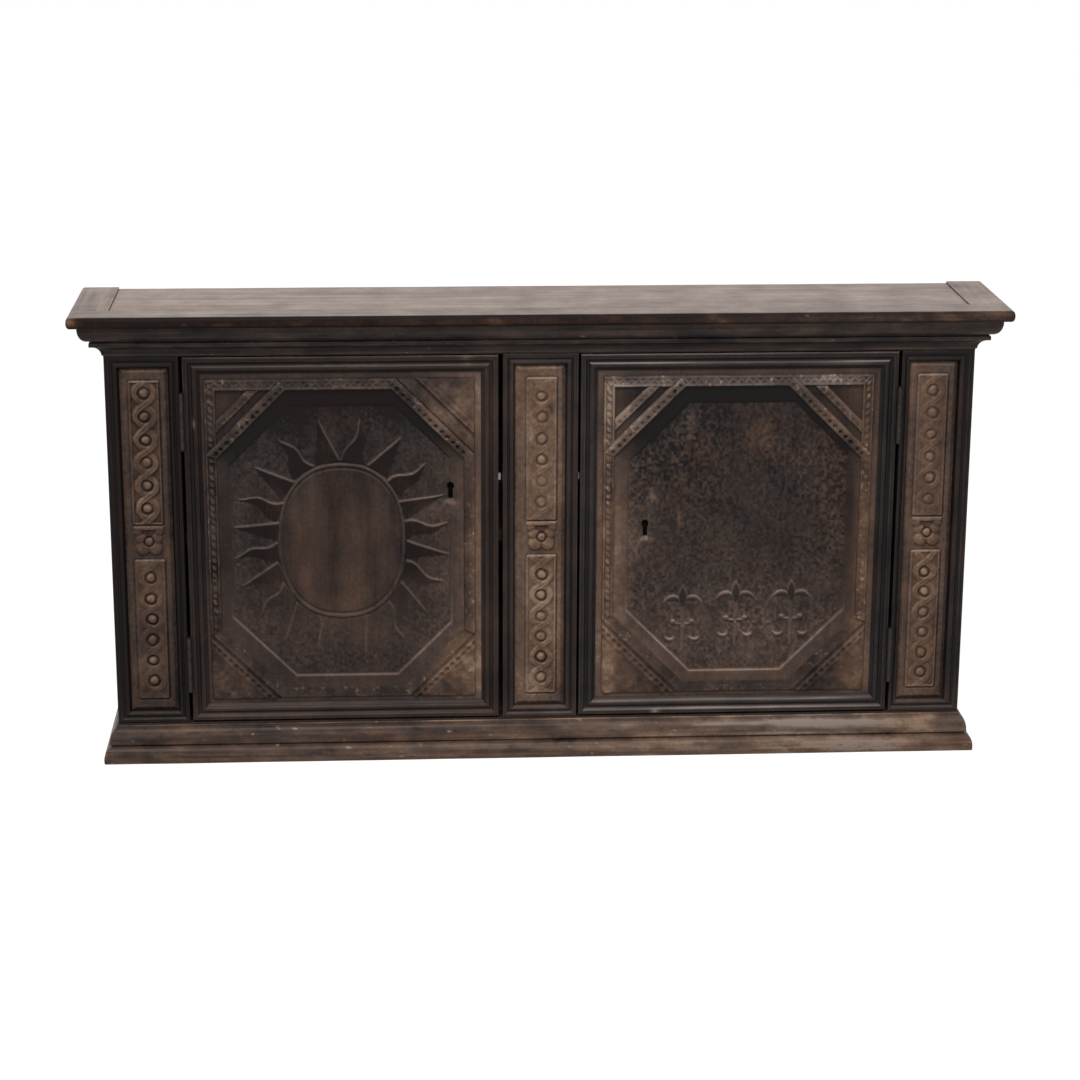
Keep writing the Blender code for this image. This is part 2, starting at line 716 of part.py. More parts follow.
def sun_rays(centre, disc, tips):
    """Outlines of rays round an oval disc, straight and wavy by turns, between two ovals' half sizes."""
    outlines = []
    roots = [half + RAY_CLEAR for half in disc]
    spread = RAY_ROOT_SHARE * pi / RAY_COUNT
    for k in range(RAY_COUNT):
        angle = 2 * pi * (k + 0.5) / RAY_COUNT
        tip = oval_point(centre, *tips, angle)
        across = Vector((-sin(angle), cos(angle)))
        wavy = k % 2 == 0
        count = 8 if wavy else 1
        edges = []
        for side in (1, -1):
            start = oval_point(centre, *roots, angle + side * spread)
            end = tip + across * (side * RAY_TIP_WIDTH / 2)
            edge = []
            for j in range(count + 1):
                t = j / count
                sway = RAY_WAVE * sin(2 * pi * 1.25 * t) if wavy else 0.0
                edge.append(tuple(start.lerp(end, t) + across * sway))
            edges.append(edge)
        outlines.append(edges[0] + edges[1][::-1])
    return outlines


def sun_disc(name, centre, disc):
    """A domed oval disc inside a raised rim."""
    half_width, half_height = disc
    groove = RIM_WIDTH + GROOVE_WIDTH
    dome_edge = groove + GROOVE_WIDTH
    profile = (
        (0.0, -EMBED), (0.0, RIM_RISE), (RIM_WIDTH, RIM_RISE), (groove, 0.3 * RIM_RISE),
        (dome_edge, 0.6 * DISC_RISE), (0.35 * half_width, 0.88 * DISC_RISE),
        (0.75 * half_width, DISC_RISE),
    )
    rings = []
    for margin, rise in profile:
        oval = arc(centre, half_width - margin, half_height - margin, 0, 348.75, 31)
        rings.append([(x, FRONT + FLOOR - rise, z) for x, z in oval])
    return loft(name, rings)


def fleur(foot):
    """Outlines of one fleur-de-lis standing on a point: lozenge, petals, knobs, cups, neck, band and stem."""
    steps = 7
    rise = [k / steps for k in range(steps + 1)]
    lozenge = [(0.0, 0.66 + 0.34 * t) for t in rise]
    lozenge_width = [0.012 + 0.125 * sin(pi * t) for t in rise]
    petal = bezier((0.095, 0.775), (0.15, 0.835), (0.24, 0.81), (0.31, 0.73), steps)
    petal_width = [0.05 + 0.06 * sin(pi * t) - 0.03 * t for t in rise]
    cup = arc((0.195, 0.235), 0.075, 0.075, 200, 345, steps)
    cup_width = [0.015 + 0.05 * sin(pi * t) for t in rise]
    one_sided = [
        tapered_stroke(petal, petal_width),
        tapered_stroke(cup, cup_width),
        circle((0.125, 0.50), 0.040, 8),
    ]
    shapes = one_sided + [[(-x, z) for x, z in shape[::-1]] for shape in one_sided]
    shapes += [
        tapered_stroke(lozenge, lozenge_width),
        rectangle((-0.028, 0.028), (0.44, 0.63)),
        rectangle((-0.12, 0.12), (0.39, 0.42)),
        tapered_stroke([(0.0, 0.37), (0.0, 0.0)], [0.055, 0.03]),
    ]
    return [
        [(foot[0] + FLEUR_HEIGHT * x, foot[1] + FLEUR_HEIGHT * z) for x, z in shape]
        for shape in shapes
    ]


def keyhole(x, z):
    """A round eye over a parallel slot, centred on a point."""
    top = z + KEYHOLE_HEIGHT / 2 - KEYHOLE_RADIUS
    half = KEYHOLE_SLOT / 2
    start = -90 + 180 / pi * acos(sqrt(1 - (half / KEYHOLE_RADIUS) ** 2))
    eye = arc((x, top), KEYHOLE_RADIUS, KEYHOLE_RADIUS, start, 180 - start, 10)
    return eye + [(x - half, z - KEYHOLE_HEIGHT / 2), (x + half, z - KEYHOLE_HEIGHT / 2)]


def build_door_frame(word, side, x_range, z_range):
    """Two stiles and two rails with one moulded section, rebated behind for the panel."""
    face = frame_face(DOOR_FRAME_WIDTH, DOOR_FILLET, DOOR_HOLLOW, DOOR_BEAD, DOOR_BEAD_INSET)
    rebate = DOOR_FRAME_WIDTH - REBATE_WIDTH
    section = face + [
        (DOOR_FRAME_WIDTH, LIP_FRONT), (DOOR_FRAME_WIDTH, LIP_BACK), (rebate, LIP_BACK),
        (rebate, DOOR_THICK), (0.0, DOOR_THICK),
    ]
    low_left, low_right, high_right, high_left = rectangle(x_range, z_range)
    west, east = ("hinge_stile", "lock_stile") if side < 0 else ("lock_stile", "hinge_stile")
    members = (
        (west, low_left, high_left, (1, 0)),
        (east, low_right, high_right, (-1, 0)),
        ("bottom_rail", low_left, low_right, (0, 1)),
        ("top_rail", high_left, high_right, (0, -1)),
    )
    prefix = "door_" + word + "_"
    return [
        mitred_member(prefix + name, section, start, end, inward, DARK_WOOD)
        for name, start, end, inward in members
    ]


def build_door_panel(word, x_range, z_range, key):
    """The panel with its sunk octagon, relief and keyhole, and the carved border on it."""
    prefix = "door_" + word + "_"
    edge = DOOR_FRAME_WIDTH - REBATE_WIDTH + FIT
    depths = (PANEL_FACE, PANEL_BACK)
    panel = board(prefix + "panel", inset(x_range, edge), depths, inset(z_range, edge), PANEL_WOOD)

    west = DOOR_FRAME_WIDTH + BORDER_MARGIN_WEST[word]
    border_x = (x_range[0] + west, x_range[1] - DOOR_FRAME_WIDTH - BORDER_MARGIN_EAST)
    low = DOOR_FRAME_WIDTH + BORDER_MARGIN_LOW
    border_z = (z_range[0] + low, z_range[1] - DOOR_FRAME_WIDTH - BORDER_MARGIN_HIGH)
    cuts = OCTAGON_CUTS[word]
    outlines = border_outlines(border_x, border_z, cuts, PIERCED_CORNERS[word])
    border = relief(prefix + "carved_border", outlines, BORDER_FACE, PANEL_FACE - FIT, CARVED_WOOD)
    worn = [worn_strip(border_x, border_z, cuts)]
    worn_depth = PANEL_FACE - FIT - WORN_RISE
    combine(border, relief(prefix + "worn_strip", worn, BORDER_FACE - EMBED, worn_depth), "DIFFERENCE")

    left, right, below, above = GROUND_MARGINS[word]
    ground_x = (border_x[0] + left, border_x[1] - right)
    ground_z = (border_z[0] + below, border_z[1] - above)
    brink = octagon(border_x, border_z, cuts, BORDER_STRIP + FIT)
    ground = octagon(ground_x, ground_z, GROUND_CUTS[word], 0.0)
    slope = EMBED / BAND_DROP
    start = [(x + (x - u) * slope, z + (z - w) * slope) for (x, z), (u, w) in zip(brink, ground)]
    steps = ((start, PANEL_FACE - EMBED), (ground, PANEL_FACE + BAND_DROP), (ground, FLOOR))
    rings = [[(x, FRONT + depth, z) for x, z in corners] for corners, depth in steps]
    combine(panel, loft(prefix + "sinking", rings), "DIFFERENCE")

    if word == "left":
        sun = (sum(ground_x) / 2 + SUN_SHIFT_X, sum(ground_z) / 2 + SUN_SHIFT_Z)
        tips = (
            (ground_x[1] - ground_x[0]) / 2 - RAY_SIDE_CLEAR,
            (ground_z[1] - ground_z[0]) / 2 - RAY_END_CLEAR,
        )
        disc = (tips[0] - RAY_SIDE_LENGTH, tips[1] - RAY_END_LENGTH)
        rays = relief("sun_rays", sun_rays(sun, disc, tips), FLOOR - RAY_RISE, FLOOR + EMBED)
        combine(panel, rays, "UNION")
        combine(panel, sun_disc("sun_disc", sun, disc), "UNION")
    else:
        flowers = []
        for aside, rise in FLEUR_PLACES:
            foot = (sum(border_x) / 2 + aside, z_range[0] + DOOR_FRAME_WIDTH + FLEUR_LIFT + rise)
            flowers += fleur(foot)
        combine(panel, relief("fleurs", flowers, FLOOR - FLEUR_RISE, FLOOR + EMBED), "UNION")
    hole = relief(prefix + "keyhole", [keyhole(*key)], 0.0, DOOR_THICK + FIT + KEYHOLE_DEPTH)
    combine(panel, hole, "DIFFERENCE")
    return panel, border, hole


# Hinges

def knuckle_outline(axis, leaf_x):
    """A knuckle seen from above: a round that runs into its leaf, which spans leaf_x from the axis."""
    left, right = leaf_x
    start = 180 / pi * acos(left / KNUCKLE_RADIUS)
    end = 360 + 180 / pi * acos(right / KNUCKLE_RADIUS)
    tongue = KNUCKLE_RADIUS + EMBED
    points = arc((0.0, 0.0), KNUCKLE_RADIUS, KNUCKLE_RADIUS, start, end, ROUND_SIDES)
    points += [(right, tongue), (left, tongue)]
    return [(axis[0] + x, axis[1] + y) for x, y in points]


def build_leaf(name, axis, leaf_x, z_low, knuckles):
    """A hinge plate in the gap, with its share of the knuckles, bored for the pin."""
    plate_y = (axis[1] + KNUCKLE_RADIUS + FIT, axis[1] + LEAF_DEPTH)
    low = (axis[0] + leaf_x[0], plate_y[0], z_low)
    high = (axis[0] + leaf_x[1], plate_y[1], z_low + HINGE_LENGTH)
    leaf = block(name, low, high, IRON)
    pitch = HINGE_LENGTH / KNUCKLE_COUNT
    outline = knuckle_outline(axis, leaf_x)
    for k in knuckles:
        span = inset((z_low + k * pitch, z_low + (k + 1) * pitch), FIT / 2)
        rings = [[(x, y, z) for x, y in outline] for z in span]
        combine(leaf, loft(name + "_knuckle_" + str(k), rings), "UNION")
    bore_radius = (PIN_RADIUS + FIT) / cos(pi / ROUND_SIDES)
    over = PIN_HEAD
    bore_profile = ((bore_radius, z_low - over), (bore_radius, z_low + HINGE_LENGTH + over))
    combine(leaf, turned(name + "_bore", bore_profile, axis), "DIFFERENCE")
    return leaf


def build_hinge(name, side, axis, z_low):
    """Two leaves and a headed pin. The leaf on the stile keeps the outer knuckles."""
    outer = HINGE_GAP / 2 - FIT
    inner = outer - LEAF_THICK
    on_stile = sorted((side * outer, side * inner))
    on_door = sorted((-side * outer, -side * inner))
    build_leaf(name + "_frame_leaf", axis, on_stile, z_low, range(0, KNUCKLE_COUNT, 2))
    door_leaf = build_leaf(name + "_door_leaf", axis, on_door, z_low, range(1, KNUCKLE_COUNT, 2))
    foot = z_low - FIT
    head = z_low + HINGE_LENGTH + FIT
    profile = (
        (0.6 * PIN_HEAD_RADIUS, foot - PIN_HEAD), (PIN_HEAD_RADIUS, foot - 0.5 * PIN_HEAD),
        (PIN_HEAD_RADIUS, foot), (PIN_RADIUS, foot), (PIN_RADIUS, head), (PIN_HEAD_RADIUS, head),
        (PIN_HEAD_RADIUS, head + 0.5 * PIN_HEAD), (0.6 * PIN_HEAD_RADIUS, head + PIN_HEAD),
    )
    turned(name + "_pin", profile, axis, IRON)
    return door_leaf


# Locks

def build_lock(word, side, lock_x, key, nose, stile, keyhole_tool, door_pivot):
    """A case on the door's back, its sliding bolt, and a strike plate let into the middle stile."""
    out = -side
    back = DOOR_THICK + FIT
    case_x = sorted((lock_x - out * FIT, key[0] - out * LOCK_BORDER))
    case_z = (key[1] - LOCK_BORDER, BOLT_Z + LOCK_BORDER)
    case = board("lock_case_" + word, case_x, (back, back + LOCK_THICK), case_z, IRON)
    slack = BOLT_THICK / 2 + FIT
    bolt_room = (BOLT_DEPTH - slack, BOLT_DEPTH + slack)
    bolt_room_z = (BOLT_Z - BOLT_HEIGHT / 2 - FIT, BOLT_Z + BOLT_HEIGHT / 2 + FIT)
    channel_x = sorted((lock_x + out * EMBED, lock_x - out * (BOLT_TAIL + FIT)))
    combine(case, board("bolt_channel_" + word, channel_x, bolt_room, bolt_room_z), "DIFFERENCE")
    combine(case, keyhole_tool, "DIFFERENCE")

    bolt_x = sorted((lock_x - out * BOLT_TAIL, lock_x + out * nose))
    bolt_y = inset(bolt_room, FIT)
    bolt_z = inset(bolt_room_z, FIT)
    bolt = board("lock_bolt_" + word, bolt_x, bolt_y, bolt_z, BRIGHT_IRON)
    pivot = pivot_at("bolt_slide_" + word, (lock_x, FRONT + BOLT_DEPTH, BOLT_Z), door_pivot)
    carry(pivot, bolt)

    edge = stile_spans()["centre"][0 if side < 0 else 1]
    mortise_y = inset(bolt_y, -MORTISE_CLEAR)
    mortise_z = inset(bolt_z, -MORTISE_CLEAR)
    strike_y = inset(mortise_y, -STRIKE_BORDER)
    strike_z = (BOLT_Z - STRIKE_HEIGHT / 2, BOLT_Z + STRIKE_HEIGHT / 2)
    strike_x = sorted((edge, edge + out * STRIKE_THICK))
    strike = board("lock_strike_" + word, strike_x, strike_y, strike_z, BRIGHT_IRON)
    mortise_x = sorted((edge - out * EMBED, edge + out * (BOLT_THROW + MORTISE_SLACK)))
    mortise = board("strike_mortise_" + word, mortise_x, mortise_y, mortise_z)
    rebate_x = sorted((edge - out * EMBED, edge + out * (STRIKE_THICK + FIT)))
    rebate = board("strike_rebate_" + word, rebate_x, inset(strike_y, -FIT), inset(strike_z, -FIT))
    combine(strike, mortise, "DIFFERENCE")
    combine(stile, rebate, "DIFFERENCE")
    combine(stile, mortise, "DIFFERENCE")
    carry(door_pivot, case)


def build_door(word, side, lock_gap, key_setback, key_drop, nose, stile):
    """One door with its hinges and lock. Its pivot stands on the hinge pins' axis."""
    stile_edge = side * (HALF_BODY - STILE_WIDTH)
    hinge_x = stile_edge - side * HINGE_GAP
    lock_x = stile_spans()["centre"][0 if side < 0 else 1] + side * lock_gap
    x_range = sorted((hinge_x, lock_x))
    z_range = (DOOR_BOTTOM, DOOR_TOP)
    key = (lock_x + side * key_setback, BOLT_Z - key_drop)
    axis = (stile_edge - side * HINGE_GAP / 2, FRONT - HINGE_PROUD)
    pivot = pivot_at("door_pivot_" + word, (*axis, DOOR_BOTTOM))

    members = build_door_frame(word, side, x_range, z_range)
    panel, border, keyhole_tool = build_door_panel(word, x_range, z_range, key)
    low = build_hinge("hinge_" + word + "_lower", side, axis, DOOR_BOTTOM + HINGE_LOW_INSET)
    high_z = DOOR_TOP - HINGE_HIGH_INSET - HINGE_LENGTH
    high = build_hinge("hinge_" + word + "_upper", side, axis, high_z)
    carry(pivot, panel, border, low, high, *members)
    build_lock(word, side, lock_x, key, nose, stile, keyhole_tool, pivot)


build_top()
build_cornice()
stiles = build_face_frame()
build_carcass()
build_plinth()
for word, span in stile_spans().items():
    build_pilaster(word, span)
build_door("left", -1, LOCK_GAP_LEFT, KEY_SETBACK_LEFT, KEY_DROP_LEFT, BOLT_NOSE_LEFT, stiles["centre"])
build_door("right", 1, LOCK_GAP_RIGHT, KEY_SETBACK_RIGHT, KEY_DROP_RIGHT, BOLT_NOSE_RIGHT, stiles["centre"])
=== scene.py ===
# %% [markdown]
# # A carved two-door cabinet, dressed over its solids
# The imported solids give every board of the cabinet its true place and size. This lesson lays the
# carving, the worn arrises and the old finish over them, one kind of piece at a time.

import bpy
import numpy as np
from mathutils import Matrix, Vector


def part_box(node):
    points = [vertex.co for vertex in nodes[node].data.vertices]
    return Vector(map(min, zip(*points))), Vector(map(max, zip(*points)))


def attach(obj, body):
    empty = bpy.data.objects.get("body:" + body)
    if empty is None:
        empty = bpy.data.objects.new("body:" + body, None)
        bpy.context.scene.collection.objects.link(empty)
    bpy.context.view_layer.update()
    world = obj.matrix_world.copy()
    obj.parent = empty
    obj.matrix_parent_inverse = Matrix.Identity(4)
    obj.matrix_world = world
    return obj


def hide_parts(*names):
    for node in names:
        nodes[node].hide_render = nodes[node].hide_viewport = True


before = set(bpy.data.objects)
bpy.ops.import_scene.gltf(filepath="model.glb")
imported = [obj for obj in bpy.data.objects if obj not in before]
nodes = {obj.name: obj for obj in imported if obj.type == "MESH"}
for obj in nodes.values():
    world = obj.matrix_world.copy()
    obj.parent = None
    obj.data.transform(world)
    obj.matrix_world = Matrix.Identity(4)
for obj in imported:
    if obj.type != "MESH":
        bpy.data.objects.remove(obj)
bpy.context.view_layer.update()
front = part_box("frieze_rail")[0].y

# %% [markdown]
# The picture was taken a little left of the cabinet's middle, from above its top, with a long lens.
# A camera could be aimed with a constraint. Here its turn is written as three angles that were fitted
# to the cabinet's straight edges, so that every edge falls where the picture has it.

# %% Camera
scene = bpy.context.scene
scene.view_settings.view_transform = "Standard"
yaw, pitch, roll = np.radians((-3.3507, -16.3116, -0.2337))
turn = Matrix.Rotation(yaw, 3, "Z") @ Matrix.Rotation(pitch, 3, "X") @ Matrix.Rotation(roll, 3, "Y")
upright = turn @ Matrix.Rotation(np.radians(90), 3, "X")
camera = bpy.data.objects.new("camera", bpy.data.cameras.new("camera"))
camera.data.lens = 90.74
camera.data.sensor_width = 36.0
camera.matrix_world = Matrix.Translation((-0.2528, -4.3300, 1.6171)) @ upright.to_4x4()
scene.collection.objects.link(camera)
scene.camera = camera
print("camera", np.round(camera.location, 3).tolist())

# %% [markdown]
# A white studio lights the cabinet softly: one wide lamp above and in front, so that the upper edges
# of the carving catch the light, and an even sky. The sky and floor show as white to the eye and in
# reflections, but give the wood only a plain amount of light.

# %% Light and floor
def add_node(tree, kind, inputs=(), **settings):
    """A shader node with its settings; each input is another node's output or a plain value."""
    made = tree.nodes.new("ShaderNode" + kind)
    for key, value in settings.items():
        setattr(made, key, value)
    for key, value in dict(inputs).items():
        if isinstance(value, bpy.types.NodeSocket):
            tree.links.new(value, made.inputs[key])
        else:
            made.inputs[key].default_value = value
    return made


def sums(tree, operation, *values):
    """One sum on numbers or outputs."""
    return add_node(tree, "Math", dict(enumerate(values)), operation=operation).outputs[0]


def seen_rays(tree):
    """1 for rays that the eye, a reflection or a glass sends, and 0 for the light on the wood."""
    path = add_node(tree, "LightPath").outputs
    mirrored = sums(tree, "MAXIMUM", path["Is Glossy Ray"], path["Is Transmission Ray"])
    return sums(tree, "MAXIMUM", path["Is Camera Ray"], mirrored)


SKY_LIGHT = 0.30
world = bpy.data.worlds.new("studio")
world.use_nodes = True
scene.world = world
sky = world.node_tree.nodes["Background"]
sky.inputs["Color"].default_value = (1.0, 1.0, 1.0, 1.0)
strength = sums(world.node_tree, "MULTIPLY_ADD", seen_rays(world.node_tree), 1.0 - SKY_LIGHT, SKY_LIGHT)
world.node_tree.links.new(strength, sky.inputs["Strength"])


def add_lamp(name, place, aim, size, watts):
    """A wide soft lamp that looks from its place to its aim."""
    lamp = bpy.data.lights.new(name, "AREA")
    lamp.shape = "RECTANGLE"
    lamp.size, lamp.size_y = size
    lamp.energy = watts
    made = bpy.data.objects.new(name, lamp)
    way = Matrix.Translation(place).translation - Matrix.Translation(aim).translation
    made.matrix_world = Matrix.Translation(place) @ way.to_track_quat("Z", "Y").to_matrix().to_4x4()
    scene.collection.objects.link(made)


add_lamp("lamp_above", (-0.3, -2.2, 3.1), (0.0, -0.1, 0.4), (2.6, 1.2), 105.0)
add_lamp("lamp_front", (0.9, -4.4, 1.2), (0.0, 0.0, 0.4), (2.5, 1.6), 22.0)

floor_wash = bpy.data.materials.new("floor_wash")
floor_wash.use_nodes = True
tree = floor_wash.node_tree
tree.nodes.clear()
seen = seen_rays(tree)
matt = add_node(tree, "BsdfDiffuse", {"Color": sums(tree, "MULTIPLY_ADD", seen, -0.10, 0.40)})
glow = add_node(tree, "Emission", {"Strength": sums(tree, "MULTIPLY", seen, 0.92)})
both = add_node(tree, "AddShader", {0: matt.outputs[0], 1: glow.outputs[0]})
add_node(tree, "OutputMaterial", {"Surface": both.outputs[0]})
floor_mesh = bpy.data.meshes.new("studio_floor")
floor_mesh.from_pydata([(-9, -9, -0.0003), (9, -9, -0.0003), (9, 9, -0.0003), (-9, 9, -0.0003)], [], [(0, 1, 2, 3)])
floor_mesh.materials.append(floor_wash)
studio_floor = bpy.data.objects.new("studio_floor", floor_mesh)
scene.collection.objects.link(studio_floor)
print("lamps and floor are set")

# %% [markdown]
# Old wood is never quite even. A table of random numbers, drawn once from a fixed seed, gives a soft
# noise for hollows, dents and worn patches, the same on every run. Patches that the picture shows in
# one place are soft ovals, listed in millimetres.

# %% Noise and patches
NOISE = np.random.default_rng(11).random((256, 256))


def cloud(u, v, octaves=2):
    """Noise from 0 to 1: random numbers at whole u and v, eased between, plus finer weaker copies."""
    total, weight = 0.0, 0.0
    for octave in range(octaves):
        a, b = u * 2**octave + 17.3 * octave, v * 2**octave + 9.1 * octave
        i, j = np.floor(a).astype(int), np.floor(b).astype(int)
        s, t = a - i, b - j
        s, t = s * s * (3 - 2 * s), t * t * (3 - 2 * t)
        near = NOISE[i % 256, j % 256] * (1 - s) + NOISE[(i + 1) % 256, j % 256] * s
        far = NOISE[i % 256, (j + 1) % 256] * (1 - s) + NOISE[(i + 1) % 256, (j + 1) % 256] * s
        total = total + (near * (1 - t) + far * t) / 2**octave
        weight += 1 / 2**octave
    return total / weight


def ease(value, low, high):
    """0 below low and 1 above high, with an S-curve between."""
    t = np.clip((value - low) / (high - low), 0, 1)
    return t * t * (3 - 2 * t)


def patches(x, z, places):
    """Soft ovals: each adds its amount, fading with the squared distance in its own half-widths (mm)."""
    total = np.zeros(np.broadcast(x, z).shape)
    for px, pz, wide, tall, amount in places:
        total += amount * np.exp(-(((x * 1000 - px) / wide) ** 2) - ((z * 1000 - pz) / tall) ** 2)
    return total


print("noise mean", round(float(cloud(np.arange(500) * 0.37, np.arange(500) * 0.21).mean()), 3))

# %% [markdown]
# Each new piece is a closed skin of points and faces. Joining skins, turning faces outwards by the
# sign of the volume they hold, storing the wear and painted light as numbers on the points, and hiding
# the solids that the piece stands for are the same every time, so one helper does them.

# %% From arrays to a piece
def grid_faces(rows, columns, round_columns=False):
    """Four-cornered faces between neighbouring points of a grid, closed across its columns if asked."""
    r = np.arange(rows - 1)[:, None] * columns
    c = np.arange(columns if round_columns else columns - 1)
    d = (c + 1) % columns
    return np.stack((r + c, r + d, r + columns + d, r + columns + c), -1).reshape(-1, 4)


def outward(points, faces):
    """The faces, turned round if the volume they hold comes out negative."""
    volume = 0.0
    for face in faces:
        for k in range(1, face.shape[1] - 1):
            corners = points[face[:, 0]], points[face[:, k]], points[face[:, k + 1]]
            volume += np.einsum("ij,ij->", corners[0], np.cross(corners[1], corners[2]))
    return [face[:, ::-1] for face in faces] if volume < 0 else faces


def join(skins):
    """Several (points, faces, fields) skins as one, each turned outwards, with the faces renumbered."""
    points, faces, fields, count = [], [], {}, 0
    for skin_points, skin_faces, skin_fields in skins:
        skin_points = np.reshape(skin_points, (-1, 3))
        points.append(skin_points)
        faces += [face + count for face in outward(skin_points - skin_points.mean(axis=0), skin_faces)]
        for key, values in skin_fields.items():
            fields.setdefault(key, []).append(np.ravel(values))
        count += len(skin_points)
    return np.vstack(points), faces, {key: np.concatenate(parts) for key, parts in fields.items()}


def make_piece(name, skins, finishes, body, replaced, crease=None, choice=None):
    """A mesh object from skins: wear and painted light stored on its points, on its body, in place of its solids."""
    points, faces, fields = join(skins)
    loops = np.concatenate([np.ravel(face) for face in faces])
    sizes = np.concatenate([np.full(len(face), face.shape[1]) for face in faces])
    mesh = bpy.data.meshes.new(name)
    mesh.vertices.add(len(points))
    mesh.vertices.foreach_set("co", points.astype(np.float32).ravel())
    mesh.loops.add(len(loops))
    mesh.loops.foreach_set("vertex_index", loops.astype(np.int32))
    mesh.polygons.add(len(sizes))
    mesh.polygons.foreach_set("loop_start", (np.cumsum(sizes) - sizes).astype(np.int32))
    for key, values in fields.items():
        stored = mesh.attributes.new(key, "FLOAT", "POINT")
        stored.data.foreach_set("value", np.ravel(values).astype(np.float32))
    mesh.update(calc_edges=True)
    mesh.validate()
    mesh.shade_smooth()
    if crease is not None:
        mesh.set_sharp_from_angle(angle=np.radians(crease))
    for finish in finishes:
        mesh.materials.append(finish)
    if choice is not None:
        mesh.polygons.foreach_set("material_index", choice.astype(np.int32))
    piece = bpy.data.objects.new(name, mesh)
    scene.collection.objects.link(piece)
    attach(piece, body)
    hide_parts(*replaced)
    print(name, int((sizes - 2).sum()), "triangles")
    return piece


# %% [markdown]
# The cabinet's wood is dark with old wax and soot, greyer where it is dry, and rubbed down to a light
# brown where hands and cloths have passed. One finish covers all of it: a tone from black to pale,
# read off two colour scales, one grey and one brown. The tone comes from the wear and painted light
# stored on a piece, grain streaks along the board, and two sizes of mottling. Grain and pores also
# roughen the surface.

# %% Wood finish
GREY_SCALE = (
    (0.0, (0.0060, 0.0053, 0.0053)), (0.2, (0.0215, 0.0178, 0.0175)), (0.4, (0.0445, 0.0352, 0.0325)),
    (0.6, (0.081, 0.0612, 0.0535)), (0.8, (0.133, 0.1000, 0.0855)), (1.0, (0.238, 0.1880, 0.1650)),
)
BROWN_SCALE = (
    (0.0, (0.0080, 0.0047, 0.0040)), (0.2, (0.0275, 0.0170, 0.0136)), (0.4, (0.053, 0.0322, 0.0236)),
    (0.6, (0.092, 0.0540, 0.0365)), (0.8, (0.143, 0.0860, 0.0565)), (1.0, (0.248, 0.1630, 0.1140)),
)
ALONG_X, ALONG_Y, ALONG_Z = (7.0, 170.0, 170.0), (170.0, 7.0, 170.0), (170.0, 170.0, 7.0)


def colour_scale(tree, tone, stops):
    """A colour ramp with one stop for each (place, colour)."""
    ramp = add_node(tree, "ValToRGB", {"Fac": tone})
    ramp.color_ramp.elements[1].position = stops[-1][0]
    for place, colour in stops[1:-1]:
        ramp.color_ramp.elements.new(place)
    for element, (place, colour) in zip(ramp.color_ramp.elements, stops):
        element.color = (*colour, 1.0)
    return ramp.outputs["Color"]


def wood_finish(name, tone, warmth, grain, roughness, gloss, shares=(0.22, 0.36, 0.24), scales=(GREY_SCALE, BROWN_SCALE)):
    """Old waxed wood: base tone and warmth plus the stored wear and painted light, streaked along the grain."""
    material = bpy.data.materials.new(name)
    material.use_nodes = True
    tree = material.node_tree
    shader = tree.nodes["Principled BSDF"]
    place = add_node(tree, "TexCoord").outputs["Object"]
    stretched = add_node(tree, "Mapping", {"Vector": place, "Scale": grain}).outputs[0]
    streaks = add_node(tree, "TexNoise", {"Vector": stretched, "Scale": 1.0, "Detail": 5.0, "Roughness": 0.65}).outputs[0]
    mottling = add_node(tree, "TexNoise", {"Vector": place, "Scale": 16.0, "Detail": 5.0, "Roughness": 0.6}).outputs[0]
    specks = add_node(tree, "TexNoise", {"Vector": place, "Scale": 190.0, "Detail": 3.0, "Roughness": 0.7}).outputs[0]
    # The stored tone holds wear together with painted highlights and painted shade.
    worn = add_node(tree, "Attribute", attribute_name="wear_and_light").outputs["Fac"]
    ruddy = add_node(tree, "Attribute", attribute_name="warm").outputs["Fac"]
    value = sums(tree, "ADD", worn, tone - 0.5 * sum(shares))
    for noise, share in zip((streaks, mottling, specks), shares):
        value = sums(tree, "MULTIPLY_ADD", noise, share, value)
    tint = sums(tree, "MULTIPLY_ADD", mottling, 1.2, warmth - 0.6)
    tint = sums(tree, "ADD", tint, ruddy)
    tint = sums(tree, "MAXIMUM", sums(tree, "MINIMUM", tint, 1.0), 0.0)
    mixed = add_node(tree, "Mix", {0: tint, 6: colour_scale(tree, value, scales[0]),
                                   7: colour_scale(tree, value, scales[1])}, data_type="RGBA")
    tree.links.new(mixed.outputs[2], shader.inputs["Base Color"])
    polish = sums(tree, "MULTIPLY_ADD", mottling, -0.25, roughness + 0.125)
    tree.links.new(sums(tree, "MULTIPLY_ADD", specks, 0.16, sums(tree, "SUBTRACT", polish, 0.08)), shader.inputs["Roughness"])
    height = sums(tree, "MULTIPLY_ADD", specks, 0.6, streaks)
    bump = add_node(tree, "Bump", {"Height": height, "Strength": 0.30, "Distance": 0.0012})
    tree.links.new(bump.outputs[0], shader.inputs["Normal"])
    shader.inputs["Specular IOR Level"].default_value = gloss
    return material


frame_wood = wood_finish("frame_wood", 0.12, 0.45, ALONG_X, 0.42, 0.11)
frame_wood_upright = wood_finish("frame_wood_upright", 0.12, 0.45, ALONG_Z, 0.42, 0.11)
print("frame wood ready")
